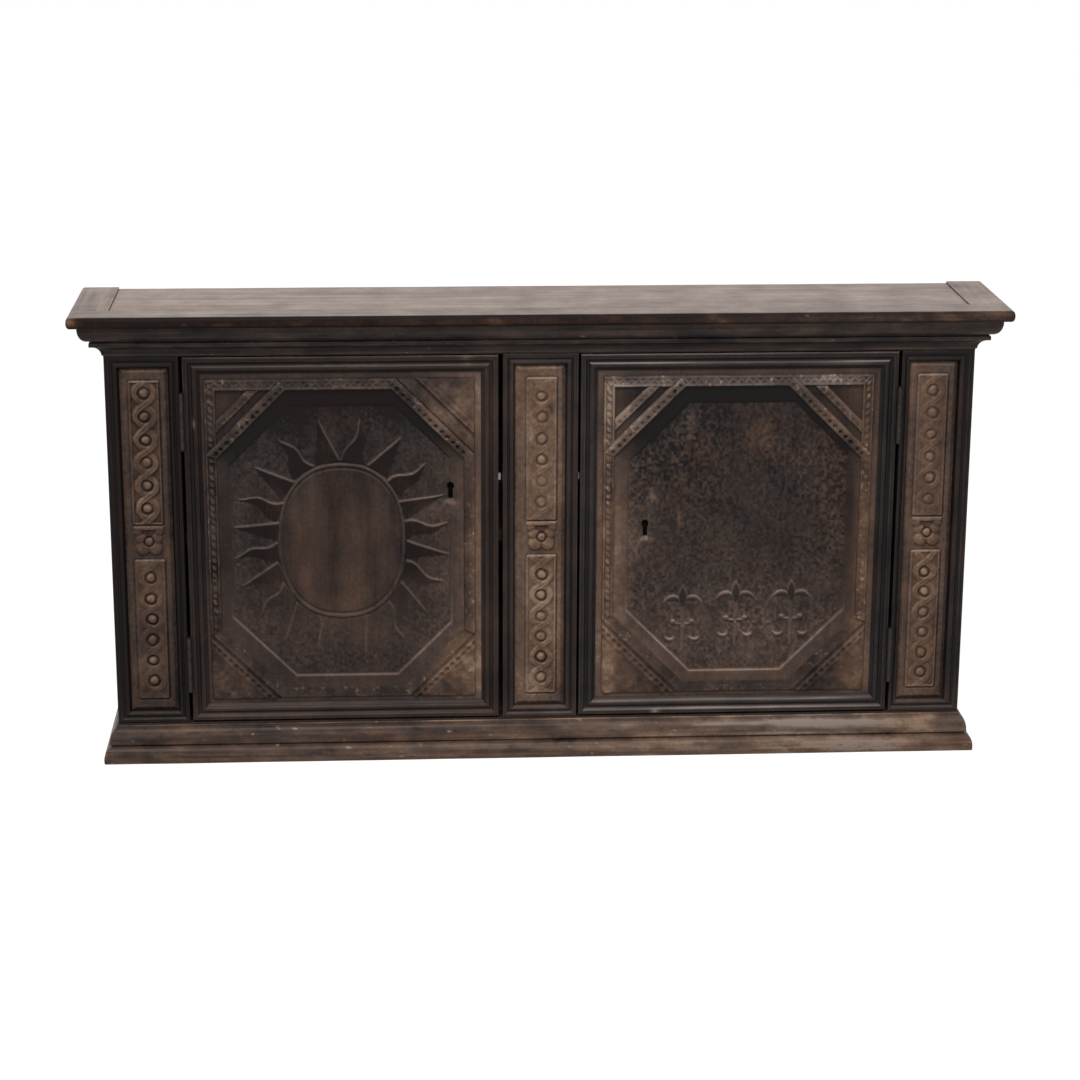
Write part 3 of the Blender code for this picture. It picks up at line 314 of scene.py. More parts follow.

# %% [markdown]
# The top is a sunk board between two end cleats, with a strip along the front whose edge is nosed
# and nibbled by use. A plank is a rounded rectangle carried along its length, drawn in at a rounded
# end by the height of a quarter circle. Its upper face is dry and grey-brown, with a painted sheen near
# the front; its edges are nearly black, with a painted shadow line under the nosing and painted shade
# toward the lower edge.

# %% Planks of the top
def rounded_section(low, high, radii, spacing):
    """A rectangle with a quarter circle at each corner, its long sides split into even steps."""
    corners = ((low[0], low[1], 180), (high[0], low[1], 270), (high[0], high[1], 0), (low[0], high[1], 90))
    outline = []
    for (a, b, start), radius in zip(corners, radii):
        centre = np.array((a + radius * np.sign(low[0] + high[0] - 2 * a), b + radius * np.sign(low[1] + high[1] - 2 * b)))
        angles = np.radians(start + np.linspace(0, 90, 7))
        outline.append(centre + radius * np.stack((np.cos(angles), np.sin(angles)), 1))
    outline = np.vstack(outline)
    closed = np.vstack((outline, outline[:1]))
    reach = np.concatenate(([0], np.cumsum(np.linalg.norm(np.diff(closed, axis=0), axis=1))))
    steps = np.arange(spacing / 2, reach[-1], spacing)
    gaps = np.abs(steps[:, None] - reach[None, :]).min(axis=1)
    steps = np.sort(np.concatenate((reach[:-1], steps[gaps > spacing / 3])))
    return np.stack([np.interp(steps, reach, closed[:, k]) for k in (0, 1)], 1)


def plank(low, high, axis, radii, end_radii, spacing=0.006):
    """A rounded rectangle along one axis; near an end it shrinks by r - sqrt(r^2 - (r - q)^2)."""
    low, high = np.array(low), np.array(high)
    others = [k for k in range(3) if k != axis]
    section = rounded_section(low[others], high[others], radii, spacing)
    length = high[axis] - low[axis]
    turns = 1 - np.cos(np.radians(np.linspace(4, 90, 7)))
    inner = np.linspace(end_radii[0], length - end_radii[1], int(length / spacing))
    stations = np.concatenate((end_radii[0] * turns[:-1], inner, length - end_radii[1] * turns[-2::-1]))
    inset = np.zeros(len(stations))
    for radius, from_end in ((end_radii[0], stations), (end_radii[1], length - stations)):
        q = np.clip(radius - from_end, 0, radius)
        inset += radius - np.sqrt(radius**2 - q**2)
    middle = (low[others] + high[others]) / 2
    half = (high[others] - low[others]) / 2
    shrink = 1 - inset[:, None, None] / half
    points = np.empty((len(stations), len(section), 3))
    points[..., others] = middle + (section - middle)[None] * shrink
    points[..., axis] = (low[axis] + stations)[:, None]
    ends = [np.arange(len(section))[None, ::-1], (len(stations) - 1) * len(section) + np.arange(len(section))[None]]
    return points, [grid_faces(len(stations), len(section), True), *ends]


TOP_GREY = (
    (0.0, (0.010, 0.0074, 0.0068)), (0.25, (0.034, 0.0240, 0.0205)), (0.5, (0.100, 0.0740, 0.0610)),
    (0.75, (0.195, 0.1490, 0.1260)), (1.0, (0.310, 0.2500, 0.2180)),
)
TOP_BROWN = (
    (0.0, (0.012, 0.0065, 0.0052)), (0.25, (0.047, 0.0240, 0.0165)), (0.5, (0.130, 0.0720, 0.0450)),
    (0.75, (0.220, 0.1440, 0.1060)), (1.0, (0.325, 0.2400, 0.1940)),
)
top_along = wood_finish("top_wood_along", 0.02, 0.40, (2.4, 62.0, 62.0), 0.47, 0.38, (0.95, 0.60, 0.44), (TOP_GREY, TOP_BROWN))
top_across = wood_finish("top_wood_across", 0.0, 0.36, (110.0, 4.0, 110.0), 0.47, 0.38, (0.85, 0.60, 0.42), (TOP_GREY, TOP_BROWN))
top_edge = wood_finish("top_wood_edge", 0.0, 0.50, ALONG_X, 0.55, 0.06, (0.24, 0.50, 0.34), (TOP_GREY, TOP_BROWN))


TOP_MARKS = [(-723, 45, 4, 85, -0.26), (-740, 30, 14, 120, -0.10), (-693, 60, 4, 70, -0.10), (-706, 40, 9, 60, 0.06),
             (697, 60, 4, 70, -0.10), (712, 70, 12, 60, -0.06), (735, -60, 14, 60, 0.05), (-350, 20, 260, 30, 0.04),
             (-640, 70, 60, 34, -0.05), (260, 5, 170, 26, 0.05)]
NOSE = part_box("top_front_strip")[0].y
EDGE_MARKS = [(-745, 750, 14, 10, 0.62), (715, 752, 45, 4, 0.30), (-640, 758, 30, 5, 0.08), (-560, 756, 20, 4, 0.10)]


def top_wear(points, upper, tone):
    """Pale on the upper face with a painted sheen near the front; below it a painted shadow line, then rubbed
    red-brown, then painted shade again.
    """
    x, y, z = points[..., 0], points[..., 1], points[..., 2]
    on_top = ease(z, upper - 0.0045, upper - 0.0012) * ease(y, NOSE + 0.0055, NOSE + 0.0105)
    scuffs = ease(cloud(x * 26, z * 60 + y * 20), 0.55, 0.80)
    nicks = ease(cloud(x * 120, z * 150 + y * 90), 0.80, 0.93) * ease(cloud(x * 4, 0 * x + 3), 0.45, 0.6)
    # Painted light: a cool sheen near the front of the upper face, a shadow line just under the nosing, and shade
    # toward the lower edge.
    painted_nose_sheen = ease(-y, 0.070, 0.115) * on_top
    dust = 0.14 * (cloud(x * 5, y * 14) - 0.5) + patches(x, y, TOP_MARKS)
    side = 0.11 - 0.12 * ease(-x, 0.1, 0.6) + 0.15 * ease(x, 0.1, 0.6) - 0.20 * np.exp(-(((z - upper + 0.0025) / 0.0024) ** 2))
    side += 0.16 * scuffs + 0.55 * nicks + patches(x, z, EDGE_MARKS) - 0.12 * ease(upper - z, 0.0135, 0.0165)
    warm = 0.30 - 0.50 * ease(x, 0.1, 0.5) + 0.5 * scuffs - 0.5 * nicks + 2.2 * patches(x, z, EDGE_MARKS)
    return {"wear_and_light": on_top * (tone + dust + 0.02 * painted_nose_sheen + patches(x, y, [(-745, -125, 12, 8, -0.20)])) + (1 - on_top) * side, "warm": (1 - on_top) * warm - 0.3 * painted_nose_sheen}


def lay_top(name, axis, radii, end_radii, finish, tone):
    """One plank over its solid, with shallow dents in its faces."""
    low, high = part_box(name)
    points, faces = plank(low, high, axis, radii, end_radii)
    x, y, z = points[..., 0], points[..., 1], points[..., 2]
    face = np.where(z > (low.z + high.z) / 2, 1.0, 0.0)
    points[..., 2] = z - face * 0.0005 * cloud(x * 16, y * 28, 3)
    edge = ease(-y, -low.y - 0.004, -low.y)
    points[..., 1] = y + edge * 0.0014 * ease(cloud(x * 30, z * 40), 0.45, 0.9)
    heights, depths = points[..., 2].ravel(), points[..., 1].ravel()
    choice = np.concatenate([(heights[face].mean(axis=1) < high.z - 0.0026) | (depths[face].mean(axis=1) < NOSE + 0.006)
                             for face in faces])
    make_piece(name + "_planed", [(points, faces, top_wear(points, high.z, tone))], [finish, top_edge], "carcass", [name], 50, choice)


lay_top("top_board", 0, (0.0006,) * 4, (0.0006, 0.0006), top_along, 0.79)
lay_top("top_front_strip", 0, (0.006, 0.0008, 0.0008, 0.006), (0.006, 0.006), top_along, 0.68)
lay_top("top_cleat_left", 1, (0.006, 0.0008, 0.0008, 0.006), (0.0008, 0.0008), top_across, 0.74)
lay_top("top_cleat_right", 1, (0.0008, 0.006, 0.006, 0.0008), (0.0008, 0.0008), top_across, 0.74)

# %% [markdown]
# Cornice, plinth and frames are planed mouldings: one section carried along a straight run and cut
# at an angle where it meets the next. A curve with a bevel object could do it, but arrays keep the
# mitres exact. The section is split evenly and softened, as old arrises are, and its bends say where
# it is rubbed pale (outer corners) or darker (inner ones). On a frame, the slopes of the front that
# face up get a painted highlight.

# %% Mouldings
def soften_section(corners, spacing=0.0008, passes=2):
    """A closed section split into even steps, then averaged with its neighbours to round its corners."""
    closed = np.vstack((corners, corners[:1]))
    reach = np.concatenate(([0], np.cumsum(np.linalg.norm(np.diff(closed, axis=0), axis=1))))
    steps = np.linspace(0, reach[-1], int(reach[-1] / spacing), endpoint=False)
    ring = np.stack([np.interp(steps, reach, closed[:, k]) for k in (0, 1)], 1)
    for _ in range(passes):
        ring = (np.roll(ring, 1, 0) + 2 * ring + np.roll(ring, -1, 0)) / 4
    return ring


def section_bends(ring):
    """How sharply a section turns at each point: positive on outer corners, negative on inner ones."""
    before, after = ring - np.roll(ring, 2, 0), np.roll(ring, -2, 0) - ring
    turning = np.arctan2(before[:, 0] * after[:, 1] - before[:, 1] * after[:, 0], (before * after).sum(1))
    area = (ring[:, 0] * np.roll(ring[:, 1], -1) - np.roll(ring[:, 0], -1) * ring[:, 1]).sum()
    return turning * np.sign(area)


def arc(centre, reach, start, end, count):
    """Points on an oval arc, from one angle in degrees to another."""
    angles = np.radians(np.linspace(start, end, count))
    return np.stack((centre[0] + reach[0] * np.cos(angles), centre[1] + reach[1] * np.sin(angles)), 1)


def run_moulding(ring, start, end, across, rise, mitre, wear, painted_gleam=0.0, step=0.012):
    """A section along a run: place = start + along * s + across * p + rise * d, with s cut by mitre * p."""
    start, end, across, rise = (np.array(v, float) for v in (start, end, across, rise))
    length = np.linalg.norm(end - start)
    along = (end - start) / length
    p, d = ring[:, 0], ring[:, 1]
    share = np.linspace(0, 1, max(int(length / step), 2))[:, None]
    s = mitre[0] * p + share * (length - (mitre[0] + mitre[1]) * p)
    uneven = 0.0006 * (cloud(s * 9 + start.sum() * 31, 7 * start[0] + 0 * s, 3) - 0.5)
    points = start + s[..., None] * along + p[:, None] * across + (d + uneven * (p > 0.001))[..., None] * rise
    bends = section_bends(ring)
    worn = 0.25 + 1.1 * cloud(s * 34 + start[2] * 50, p * 300 + start[0] * 20)
    tone, ruddy = wear(points[..., 0], points[..., 1], points[..., 2])
    wear_and_light = tone + ease(bends, 0.10, 0.70) * 0.25 * worn - ease(-bends, 0.08, 0.6) * 0.14
    # Slopes of the front that face up get a painted highlight, cooler in tint, as strong as asked.
    bearing = np.roll(ring, -1, 0) - np.roll(ring, 1, 0)
    facing = np.clip(bearing[:, 1] / np.linalg.norm(bearing, axis=1) * across[2], 0, 1) * (d < 0.006)
    wear_and_light = wear_and_light + painted_gleam * facing**2 * (0.35 + 1.3 * cloud(s * 7 + start[0] * 40, p * 200))
    count = len(ring)
    ends = [np.arange(count)[None, ::-1], (len(share) - 1) * count + np.arange(count)[None]]
    return points, [grid_faces(len(share), count, True), *ends], {"wear_and_light": wear_and_light, "warm": ruddy + 0.5 * (worn - 0.8) - 0.6 * painted_gleam * facing}


print("moulding helpers ready")

# %% [markdown]
# The cornice turns the corner under the top: a lip, an ovolo, a quirk, a fillet and a cove, from the
# top down. The plinth at the floor has a rounded block, a step and a torus; its shine along the torus
# and the block is painted highlight.

# %% Cornice and plinth
def around_front(prefix, ring, finish, wear):
    """One section along the front and both sides, each run longer with its projection at the mitre."""
    low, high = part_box(prefix + "_front")
    projection = ring[:, 0].max()
    side_x, front_y = high.x - projection, low.y + projection
    back_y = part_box(prefix + "_left")[1].y
    runs = {
        "front": ((-side_x, front_y, 0), (side_x, front_y, 0), (0, -1, 0), (-1, -1)),
        "left": ((-side_x, front_y, 0), (-side_x, back_y, 0), (-1, 0, 0), (-1, 0)),
        "right": ((side_x, front_y, 0), (side_x, back_y, 0), (1, 0, 0), (-1, 0)),
    }
    for word, (start, end, across, mitre) in runs.items():
        skin = run_moulding(ring, start, end, across, (0, 0, 1), mitre, wear, step=0.004)
        make_piece(prefix + "_" + word + "_planed", [skin], [finish], "carcass", [prefix + "_" + word], 50)


def old_streaks(x, z):
    """Uneven old wax: long streaks, blotches, dark flecks and a few pale chips."""
    flecks, chips = cloud(x * 60, z * 140 + 5), cloud(x * 110 + 9, z * 130)
    blotches = 0.40 * (cloud(x * 22, z * 60, 3) - 0.5) + 0.28 * (cloud(x * 7, z * 260, 3) - 0.5)
    return blotches - 0.10 * ease(flecks, 0.66, 0.88) + 0.50 * ease(chips, 0.82, 0.95)


def cornice_wear(x, y, z):
    """Darkest in the cove and at the left end."""
    tone = 0.07 + 0.13 * ease(z, 0.706, 0.712) + 0.10 * ease(x, -0.5, 0.1) + 0.24 * (cloud(x * 9, z * 40) - 0.5)
    foot = np.exp(-(((z - low_z) / 0.006) ** 2))
    return tone + 1.2 * old_streaks(x, z) + 0.14 * foot, 0.20 * foot - 0.10


def plinth_wear(x, y, z):
    """Lighter along the right half, partly as wear and partly as painted light; painted highlights with a grey tint on
    the torus and block; orange at the right end; a dark line in the groove.
    """
    groove = np.exp(-(((z - 0.0287) / 0.0020) ** 2))
    tone = 0.25 + 0.20 * ease(x, -0.6, 0.3) - 0.15 * ease(z, 0.030, 0.034) * ease(-x, -0.35, 0.1) - 0.20 * groove + 1.7 * old_streaks(x, z)
    # Painted highlights along the torus and the block, strongest to the right, with a cool grey tint; and worn orange
    # patches at the right end.
    tone = tone + patches(x, z, [(515, 49, 80, 5, 0.50), (340, 51, 160, 4, 0.22), (430, 40, 230, 7, -0.08), (470, 52, 150, 2.5, 0.20), (540, 15, 110, 9, 0.26), (625, 40, 30, 16, 0.18)])
    grey = patches(x, z, [(440, 48, 190, 14, -0.70), (560, 15, 120, 10, -0.35)])
    return tone, grey + patches(x, z, [(625, 38, 30, 18, 0.9), (670, 16, 60, 13, 0.7)]) + 0.5 * groove


top_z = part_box("cornice_front")[1].z
low_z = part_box("cornice_front")[0].z
cornice_ring = soften_section(np.vstack((
    [(0.0, low_z), (0.0, top_z), (0.036, top_z)], arc((0.020, top_z - 0.003), (0.016, -0.022), 0, 90, 9),
    [(0.017, top_z - 0.025), (0.017, top_z - 0.028), (0.020, top_z - 0.028)],
    arc((0.020, low_z), (0.018, top_z - 0.035 - low_z), 90, 180, 9),
)), 0.0012, 1)
around_front("cornice", cornice_ring, frame_wood, cornice_wear)

plinth_wood = wood_finish("plinth_wood", 0.26, 0.84, ALONG_X, 0.40, 0.12, (0.32, 0.40, 0.34))
plinth_ring = soften_section(np.vstack((
    [(0.0, 0.0), (0.0205, 0.0), (0.0226, 0.0015), (0.0231, 0.005)], arc((0.0135, 0.008), (0.0096, 0.0185), 0, 78, 9),
    [(0.0135, 0.0268), (0.0098, 0.0287), (0.0120, 0.0300)],
    arc((0.003, 0.032), (0.0105, 0.025), 0, 90, 11), [(0.003, 0.062), (0.0, 0.062)],
)), 0.0010, 1)
around_front("plinth", plinth_ring, plinth_wood, plinth_wear)

# %% [markdown]
# Each pilaster has a dark mitred frame: an eased arris, a flat fillet, a hollow and a bead beside the
# plate. The frames round the doors have the same order, with a thin lip that holds the panel. The
# plates are not quite centred, so a side of the frame can be wider than the other.

# %% Pilaster frames
def frame_face(width, fillet, hollow, bead, bead_inset):
    """(inset, depth) points of a frame's face: arris, fillet, hollow, then a bead as half an oval."""
    middle = width - bead_inset
    start = [(0.0, 0.0015), (0.0015, 0.0), (fillet, 0.0), (fillet + 0.0012, 0.5 * hollow),
             ((fillet + middle - bead) / 2, hollow)]
    return np.vstack((start, arc((middle, hollow), (bead, -0.75 * bead), 180, 0, 9)))


def ring_runs(ring, low, high, west, east, wear, painted_gleams):
    """Four mitred runs round a rectangle, whose sides are widened by a factor; its rails have their own strength of
    painted highlight.
    """
    (x0, z0), (x1, z1) = low, high
    runs = (
        ((x0, front, z0), (x0, front, z1), (west, 0, 0), (1, 1)),
        ((x1, front, z0), (x1, front, z1), (-east, 0, 0), (1, 1)),
        ((x0, front, z0), (x1, front, z0), (0, 0, 1), (west, east)),
        ((x0, front, z1), (x1, front, z1), (0, 0, -1), (west, east)),
    )
    return [run_moulding(ring, *run[:3], (0, 1, 0), run[3], wear, painted_gleam) for run, painted_gleam in zip(runs, (0.0, 0.0, *painted_gleams))]


pilaster_ring = soften_section(np.vstack((
    frame_face(0.020, 0.0065, 0.0028, 0.0035, 0.0055), [(0.020, 0.0086), (0.020, 0.0117), (0.0, 0.0117)],
)))
FRAME_WEAR = {"left": (-0.27, 0.30), "centre": (0.0, 0.05), "right": (-0.09, 0.05)}
for word, (base, ruddy) in FRAME_WEAR.items():
    low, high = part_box("pilaster_frame_" + word)
    plate_low, plate_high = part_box("pilaster_panel_" + word)
    west, east = (plate_low.x - 0.0003 - low.x) / 0.020, (high.x - plate_high.x - 0.0003) / 0.020
    # The rails get a painted highlight on the slopes of their front that face up.
    skins = ring_runs(pilaster_ring, (low.x, low.z), (high.x, high.z), west, east,
                      lambda x, y, z: (base + 0.16 * (cloud(x * 20, z * 8) - 0.5) + 0.16 * ease(-z, -0.12, -0.07), ruddy), (0.36, 0.30))
    make_piece("pilaster_frame_" + word + "_planed", skins, [frame_wood_upright], "carcass",
               ["pilaster_frame_" + word], 50)

# %% [markdown]
# A pilaster's plate carries two strips of guilloche, two strands that wind round a row of buttons,
# with a rosette between them. Carving like this is a height over a flat board, so the plate is a grid
# whose depth is worked out for every point: bevel, strip, strands, buttons and rosette in turn. Most
# strips are worn nearly flat, and only the left upper one keeps its full depth.

# %% Carved plates
def board_skin(grid_x, grid_z, depth, back, fields):
    """A board whose front is a grid at the given depths, with four walls and a fan behind."""
    m, n = grid_x.shape
    face = np.stack((grid_x, front + depth, grid_z), -1).reshape(-1, 3)
    number = np.arange(m * n).reshape(m, n)
    rim = np.concatenate((number[:, 0], number[-1, 1:], number[-2::-1, -1], number[0, -2:0:-1]))
    behind = face[rim].copy()
    behind[:, 1] = front + back
    middle = behind.mean(axis=0, keepdims=True)
    far = m * n + np.arange(len(rim))
    walls = np.stack((rim, np.roll(rim, -1), np.roll(far, -1), far), 1)
    fan = np.stack((far, np.roll(far, -1), np.full(len(rim), m * n + len(rim))), 1)
    kept = {key: np.concatenate((np.ravel(v), np.ravel(v)[rim], [0.0])) for key, v in fields.items()}
    return np.vstack((face, behind, middle)), [grid_faces(m, n), walls, fan], kept


def proud(height, cells):
    """How far each point stands above the mean height of its square neighbourhood: arrises and grooves."""
    mean = height
    for axis in (0, 1):
        padding = [(cells + 1, cells) if k == axis else (0, 0) for k in (0, 1)]
        total = np.cumsum(np.pad(mean, padding, mode="edge"), axis=axis)
        ahead, behind = (np.take(total, np.arange(first, first + height.shape[axis]), axis=axis) for first in (2 * cells + 1, 0))
        mean = (ahead - behind) / (2 * cells + 1)
    return height - mean


def inside_box(x, z, middle, half, corner):
    """Distance inside a rectangle with rounded corners, negative outside it."""
    a, b = np.abs(x - middle[0]) - half[0] + corner, np.abs(z - middle[1]) - half[1] + corner
    return corner - np.hypot(np.maximum(a, 0), np.maximum(b, 0)) - np.minimum(np.maximum(a, b), 0)


def dome(distance, radius):
    """The height of a round boss, 1 at its middle and 0 at its edge."""
    return np.sqrt(np.clip(1 - (distance / radius) ** 2, 0, 1))


def guilloche(u, z, span, strands, eyes, margins):
    """Two strands x = +-A cos(pi (z - z0) / pitch), one over the other, and a ringed button in each eye."""
    first, last = span[0] + margins[0], span[1] - margins[1]
    pitch, sway, half = (last - first) / 5, 0.0140, 0.0064
    phase = np.pi * (z - first) / pitch
    near, slope = sway * np.cos(phase), -sway * np.pi / pitch * np.sin(phase)
    rising, lean = np.where(slope > 0, 1.0, -1.0), np.sqrt(1 + slope**2)
    over, under = (np.abs(u - way * rising * near) / lean for way in (1, -1))
    upper, lower = (0.0022 * dome(away, half) - 0.0006 * np.exp(-((away / 0.0012) ** 2)) for away in (over, under))
    lower = lower - 0.0010 * np.abs(np.sin(phase)) ** 3 * (under < half)
    r = np.hypot(u, z - first - pitch * np.clip(np.round((z - first) / pitch), 0, 5))
    button = 0.0014 * ease(0.0085 - r, 0, 0.0060) - 0.0018 * np.exp(-(((r - 0.0088) / 0.0027) ** 2)) - 0.0002
    in_eye = ease(0.0125 - r, 0, 0.0028)
    return (1 - in_eye) * strands * (np.maximum(upper, lower) - 0.0017) + in_eye * eyes * button


def rosette(u, w):
    """Two large petals below and two smaller above, a ringed boss over them, a bar on top with curled corners."""
    low_petals = 0.0034 * dome(np.hypot(np.abs(u) - 0.0098, w + 0.0094), 0.0120)
    high_petals = 0.0026 * dome(np.hypot(np.abs(u) - 0.0128, w - 0.0062), 0.0092)
    curls = 0.0026 * dome(np.hypot(np.abs(u) - 0.0175, w - 0.0190), 0.0082)
    bar = 0.0030 * ease(w, 0.0205, 0.0220)
    r = np.hypot(u, w - 0.0010)
    flower = np.where(r < 0.0074, 0.0022 + 0.0012 * dome(r, 0.0066), np.maximum.reduce((low_petals, high_petals, curls, bar)))
    return flower - 0.0020 * np.exp(-(((r - 0.0074) / 0.0016) ** 2)) - 0.0024


PLATE_STYLE = {
    "left": (0.32, ((0.30, 1.0, (0.030, 0.030)), (1.25, 1.1, (0.0255, 0.0190)))),
    "centre": (0.56, ((0.62, 1.0, (0.026, 0.032)), (0.25, 0.55, (0.030, 0.030)))),
    "right": (0.46, ((0.65, 0.9, (0.025, 0.0355)), (0.35, 0.60, (0.027, 0.026)))),
}
PLATE_MARKS = [(723, 612, 6, 7, -0.40), (716, 620, 14, 14, -0.16), (695, 560, 9, 60, -0.10), (14, 588, 5, 9, -0.30), (722, 470, 12, 60, 0.10),
               (-675, 230, 60, 120, -0.10), (5, 230, 60, 120, 0.06)]
carved_wood = wood_finish("carved_wood", 0.10, 0.66, ALONG_Z, 0.60, 0.10, (0.24, 0.36, 0.40))
for word, (tone, strips) in PLATE_STYLE.items():
    low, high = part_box("pilaster_panel_" + word)
    x, z = np.linspace(low.x, high.x, 85), np.linspace(low.z, high.z, 600)
    grid_x, grid_z = np.meshgrid(x, z, indexing="ij")
    middle_x, middle_z = (low.x + high.x) / 2, (low.z + high.z) / 2
    u, w = grid_x - middle_x - (0.003 if word == "centre" else 0.0), grid_z - middle_z
    edge = np.minimum.reduce((grid_x - low.x, high.x - grid_x, grid_z - low.z, high.z - grid_z))
    height = -0.0034 * ease(0.007 - edge, 0, 0.0072)
    half_block = 0.0265
    inner, groove = 0 * u, 0 * u
    hand = [0.0040 * (cloud(grid_x * 50 + k, grid_z * 45) - 0.5) for k in (0, 7)]
    spans = ((low.z + 0.0215, middle_z - half_block - 0.004), (middle_z + half_block + 0.004, high.z - 0.0215))
    for span, (strands, eyes, margins) in zip(spans, strips):
        inside = inside_box(u, grid_z, (0, sum(span) / 2), (0.0235, (span[1] - span[0]) / 2), 0.0015)
        carving = guilloche(u + hand[0], grid_z + hand[1], span, strands, eyes, margins) * ease(inside, 0.0012, 0.0030)
        carving *= 0.35 + 1.3 * cloud(grid_x * 34, grid_z * 30)
        height += (0.0022 + carving) * ease(inside, -0.0022, 0.0010)
        inner += ease(inside, 0.0004, 0.0030)
        groove += np.exp(-(((inside + 0.0022) / 0.0013) ** 2))
    inside = inside_box(u, w, (0, 0), (0.0235, half_block), 0.001)
    height += (0.0022 + rosette(u, w)) * ease(inside, -0.0022, 0.0010) - 0.0008 * groove
    inner += ease(inside, 0.0004, 0.0030)
    height += 0.0006 * (cloud(grid_x * 160, grid_z * 120, 3) - 0.5)
    # Painted light: slopes that face up and to the left are lighter, those facing away darker, and the grooves beside
    # the strips get painted shade where they do not face up. Arrises and high parts are lighter, partly rubbed wear and
    # partly painted light.
    painted_slope_light = np.clip(0.5 * np.gradient(height, x, axis=0) - 0.85 * np.gradient(height, z, axis=1), -0.6, 0.9)
    wear_and_light = tone + 94 * (proud(height, 4) + proud(height, 9)) * inner + 25 * np.clip(height, -0.003, 0.003) + 0.37 * painted_slope_light
    wear_and_light -= 0.22 * groove * (1 - ease(painted_slope_light, 0.05, 0.3))
    wear_and_light += 0.34 * (cloud(grid_x * 40, grid_z * 18) - 0.5) + 0.20 * (cloud(grid_x * 210, grid_z * 190) - 0.5)
    wear_and_light += patches(grid_x, grid_z, PLATE_MARKS)
    warm = 0.05 + 0.30 * inner + 0.40 * (cloud(grid_x * 30, grid_z * 25) - 0.5)
    skin = board_skin(grid_x, grid_z, 0.0052 - height, 0.0117, {"wear_and_light": wear_and_light, "warm": warm})
    make_piece("pilaster_plate_" + word, [skin], [carved_wood], "carcass", ["pilaster_panel_" + word])

# %% [markdown]
# A door's frame is four members with one moulded section, mitred at the corners. Each member is its
# own piece, as it was cut, so that the mitre lines show.

# %% Door frames
door_ring = soften_section(np.vstack((
    frame_face(0.028, 0.0075, 0.0042, 0.0042, 0.0095),
    [(0.028, 0.0085), (0.028, 0.0100), (0.018, 0.0100), (0.018, 0.022), (0.0, 0.022)],
)))
DOORS = {"left": ("hinge_stile", "lock_stile"), "right": ("lock_stile", "hinge_stile")}
door_span = {}
for word, (west, east) in DOORS.items():
    body = "door_" + word
    low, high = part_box(body + "_" + west)[0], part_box(body + "_" + east)[1]
    door_span[word] = ((low.x, low.z), (high.x, high.z))
    # The rails get a painted highlight on their up-facing slopes, strongest on the right door's top rail; the mark at
    # (490, 661) on that rail's bead is a painted highlight too, the others are chips.
    chips = [(-560, 568, 3, 5, 0.9), (-592, 303, 3, 3, 0.9), (189, 71, 5, 3, 0.9), (490, 661, 50, 6, 0.3), (-122, 672, 4, 8, 0.6)]
    ruddy, painted_gleams = (0.30, (0.24, 0.80)) if word == "left" else (-0.30, (0.95, 1.50))
    skins = ring_runs(door_ring, (low.x, low.z), (high.x, high.z), 1, 1,
                      lambda x, y, z: (0.02 + 0.16 * (cloud(x * 9, z * 9) - 0.5) + 0.10 * ease(-z, -0.11, -0.07)
                                       - 0.08 * ease(np.abs(x), 0.53, 0.56) + patches(x, z, chips), ruddy), painted_gleams)
    for member, skin in zip((west, east, "bottom_rail", "top_rail"), skins):
        finish = frame_wood if "rail" in member else frame_wood_upright
        make_piece(body + "_" + member + "_planed", [skin], [finish], body, [body + "_" + member], 50)

# %% [markdown]
# A door panel is one carved board. Its height comes from the octagon first: how far a point lies
# inside the eight sides says whether it is on the flat margin, the sloping band or the sunk ground.
# The left ground carries a sun with straight and wavy rays round a plain oval disc, the right one a
# row of three lilies. The ground is punched, and the keyhole is a pit whose near-black finish is
# painted shade.

# %% Carving helpers for the door panels
def octagon_inset(x, z, low, high, cuts):
    """How far a point lies inside an octagon: the least of its distances to the eight sides."""
    left, right, down, up = x - low[0], high[0] - x, z - low[1], high[1] - z
    corners = ((left, down), (right, down), (right, up), (left, up))
    slants = [(a + b - cut) / np.sqrt(2) for (a, b), cut in zip(corners, cuts)]
    return np.minimum.reduce([left, right, down, up, *slants])


DISC_FULLNESS = 2.35


def oval_reach(half_width, half_height, bearing, fullness=2.0):
    """An oval's radius in one direction: the powers of both shares add to 1, and past 2 its shoulders fill out."""
    across, along = np.abs(np.cos(bearing)) / half_width, np.abs(np.sin(bearing)) / half_height
    return (across**fullness + along**fullness) ** (-1 / fullness)


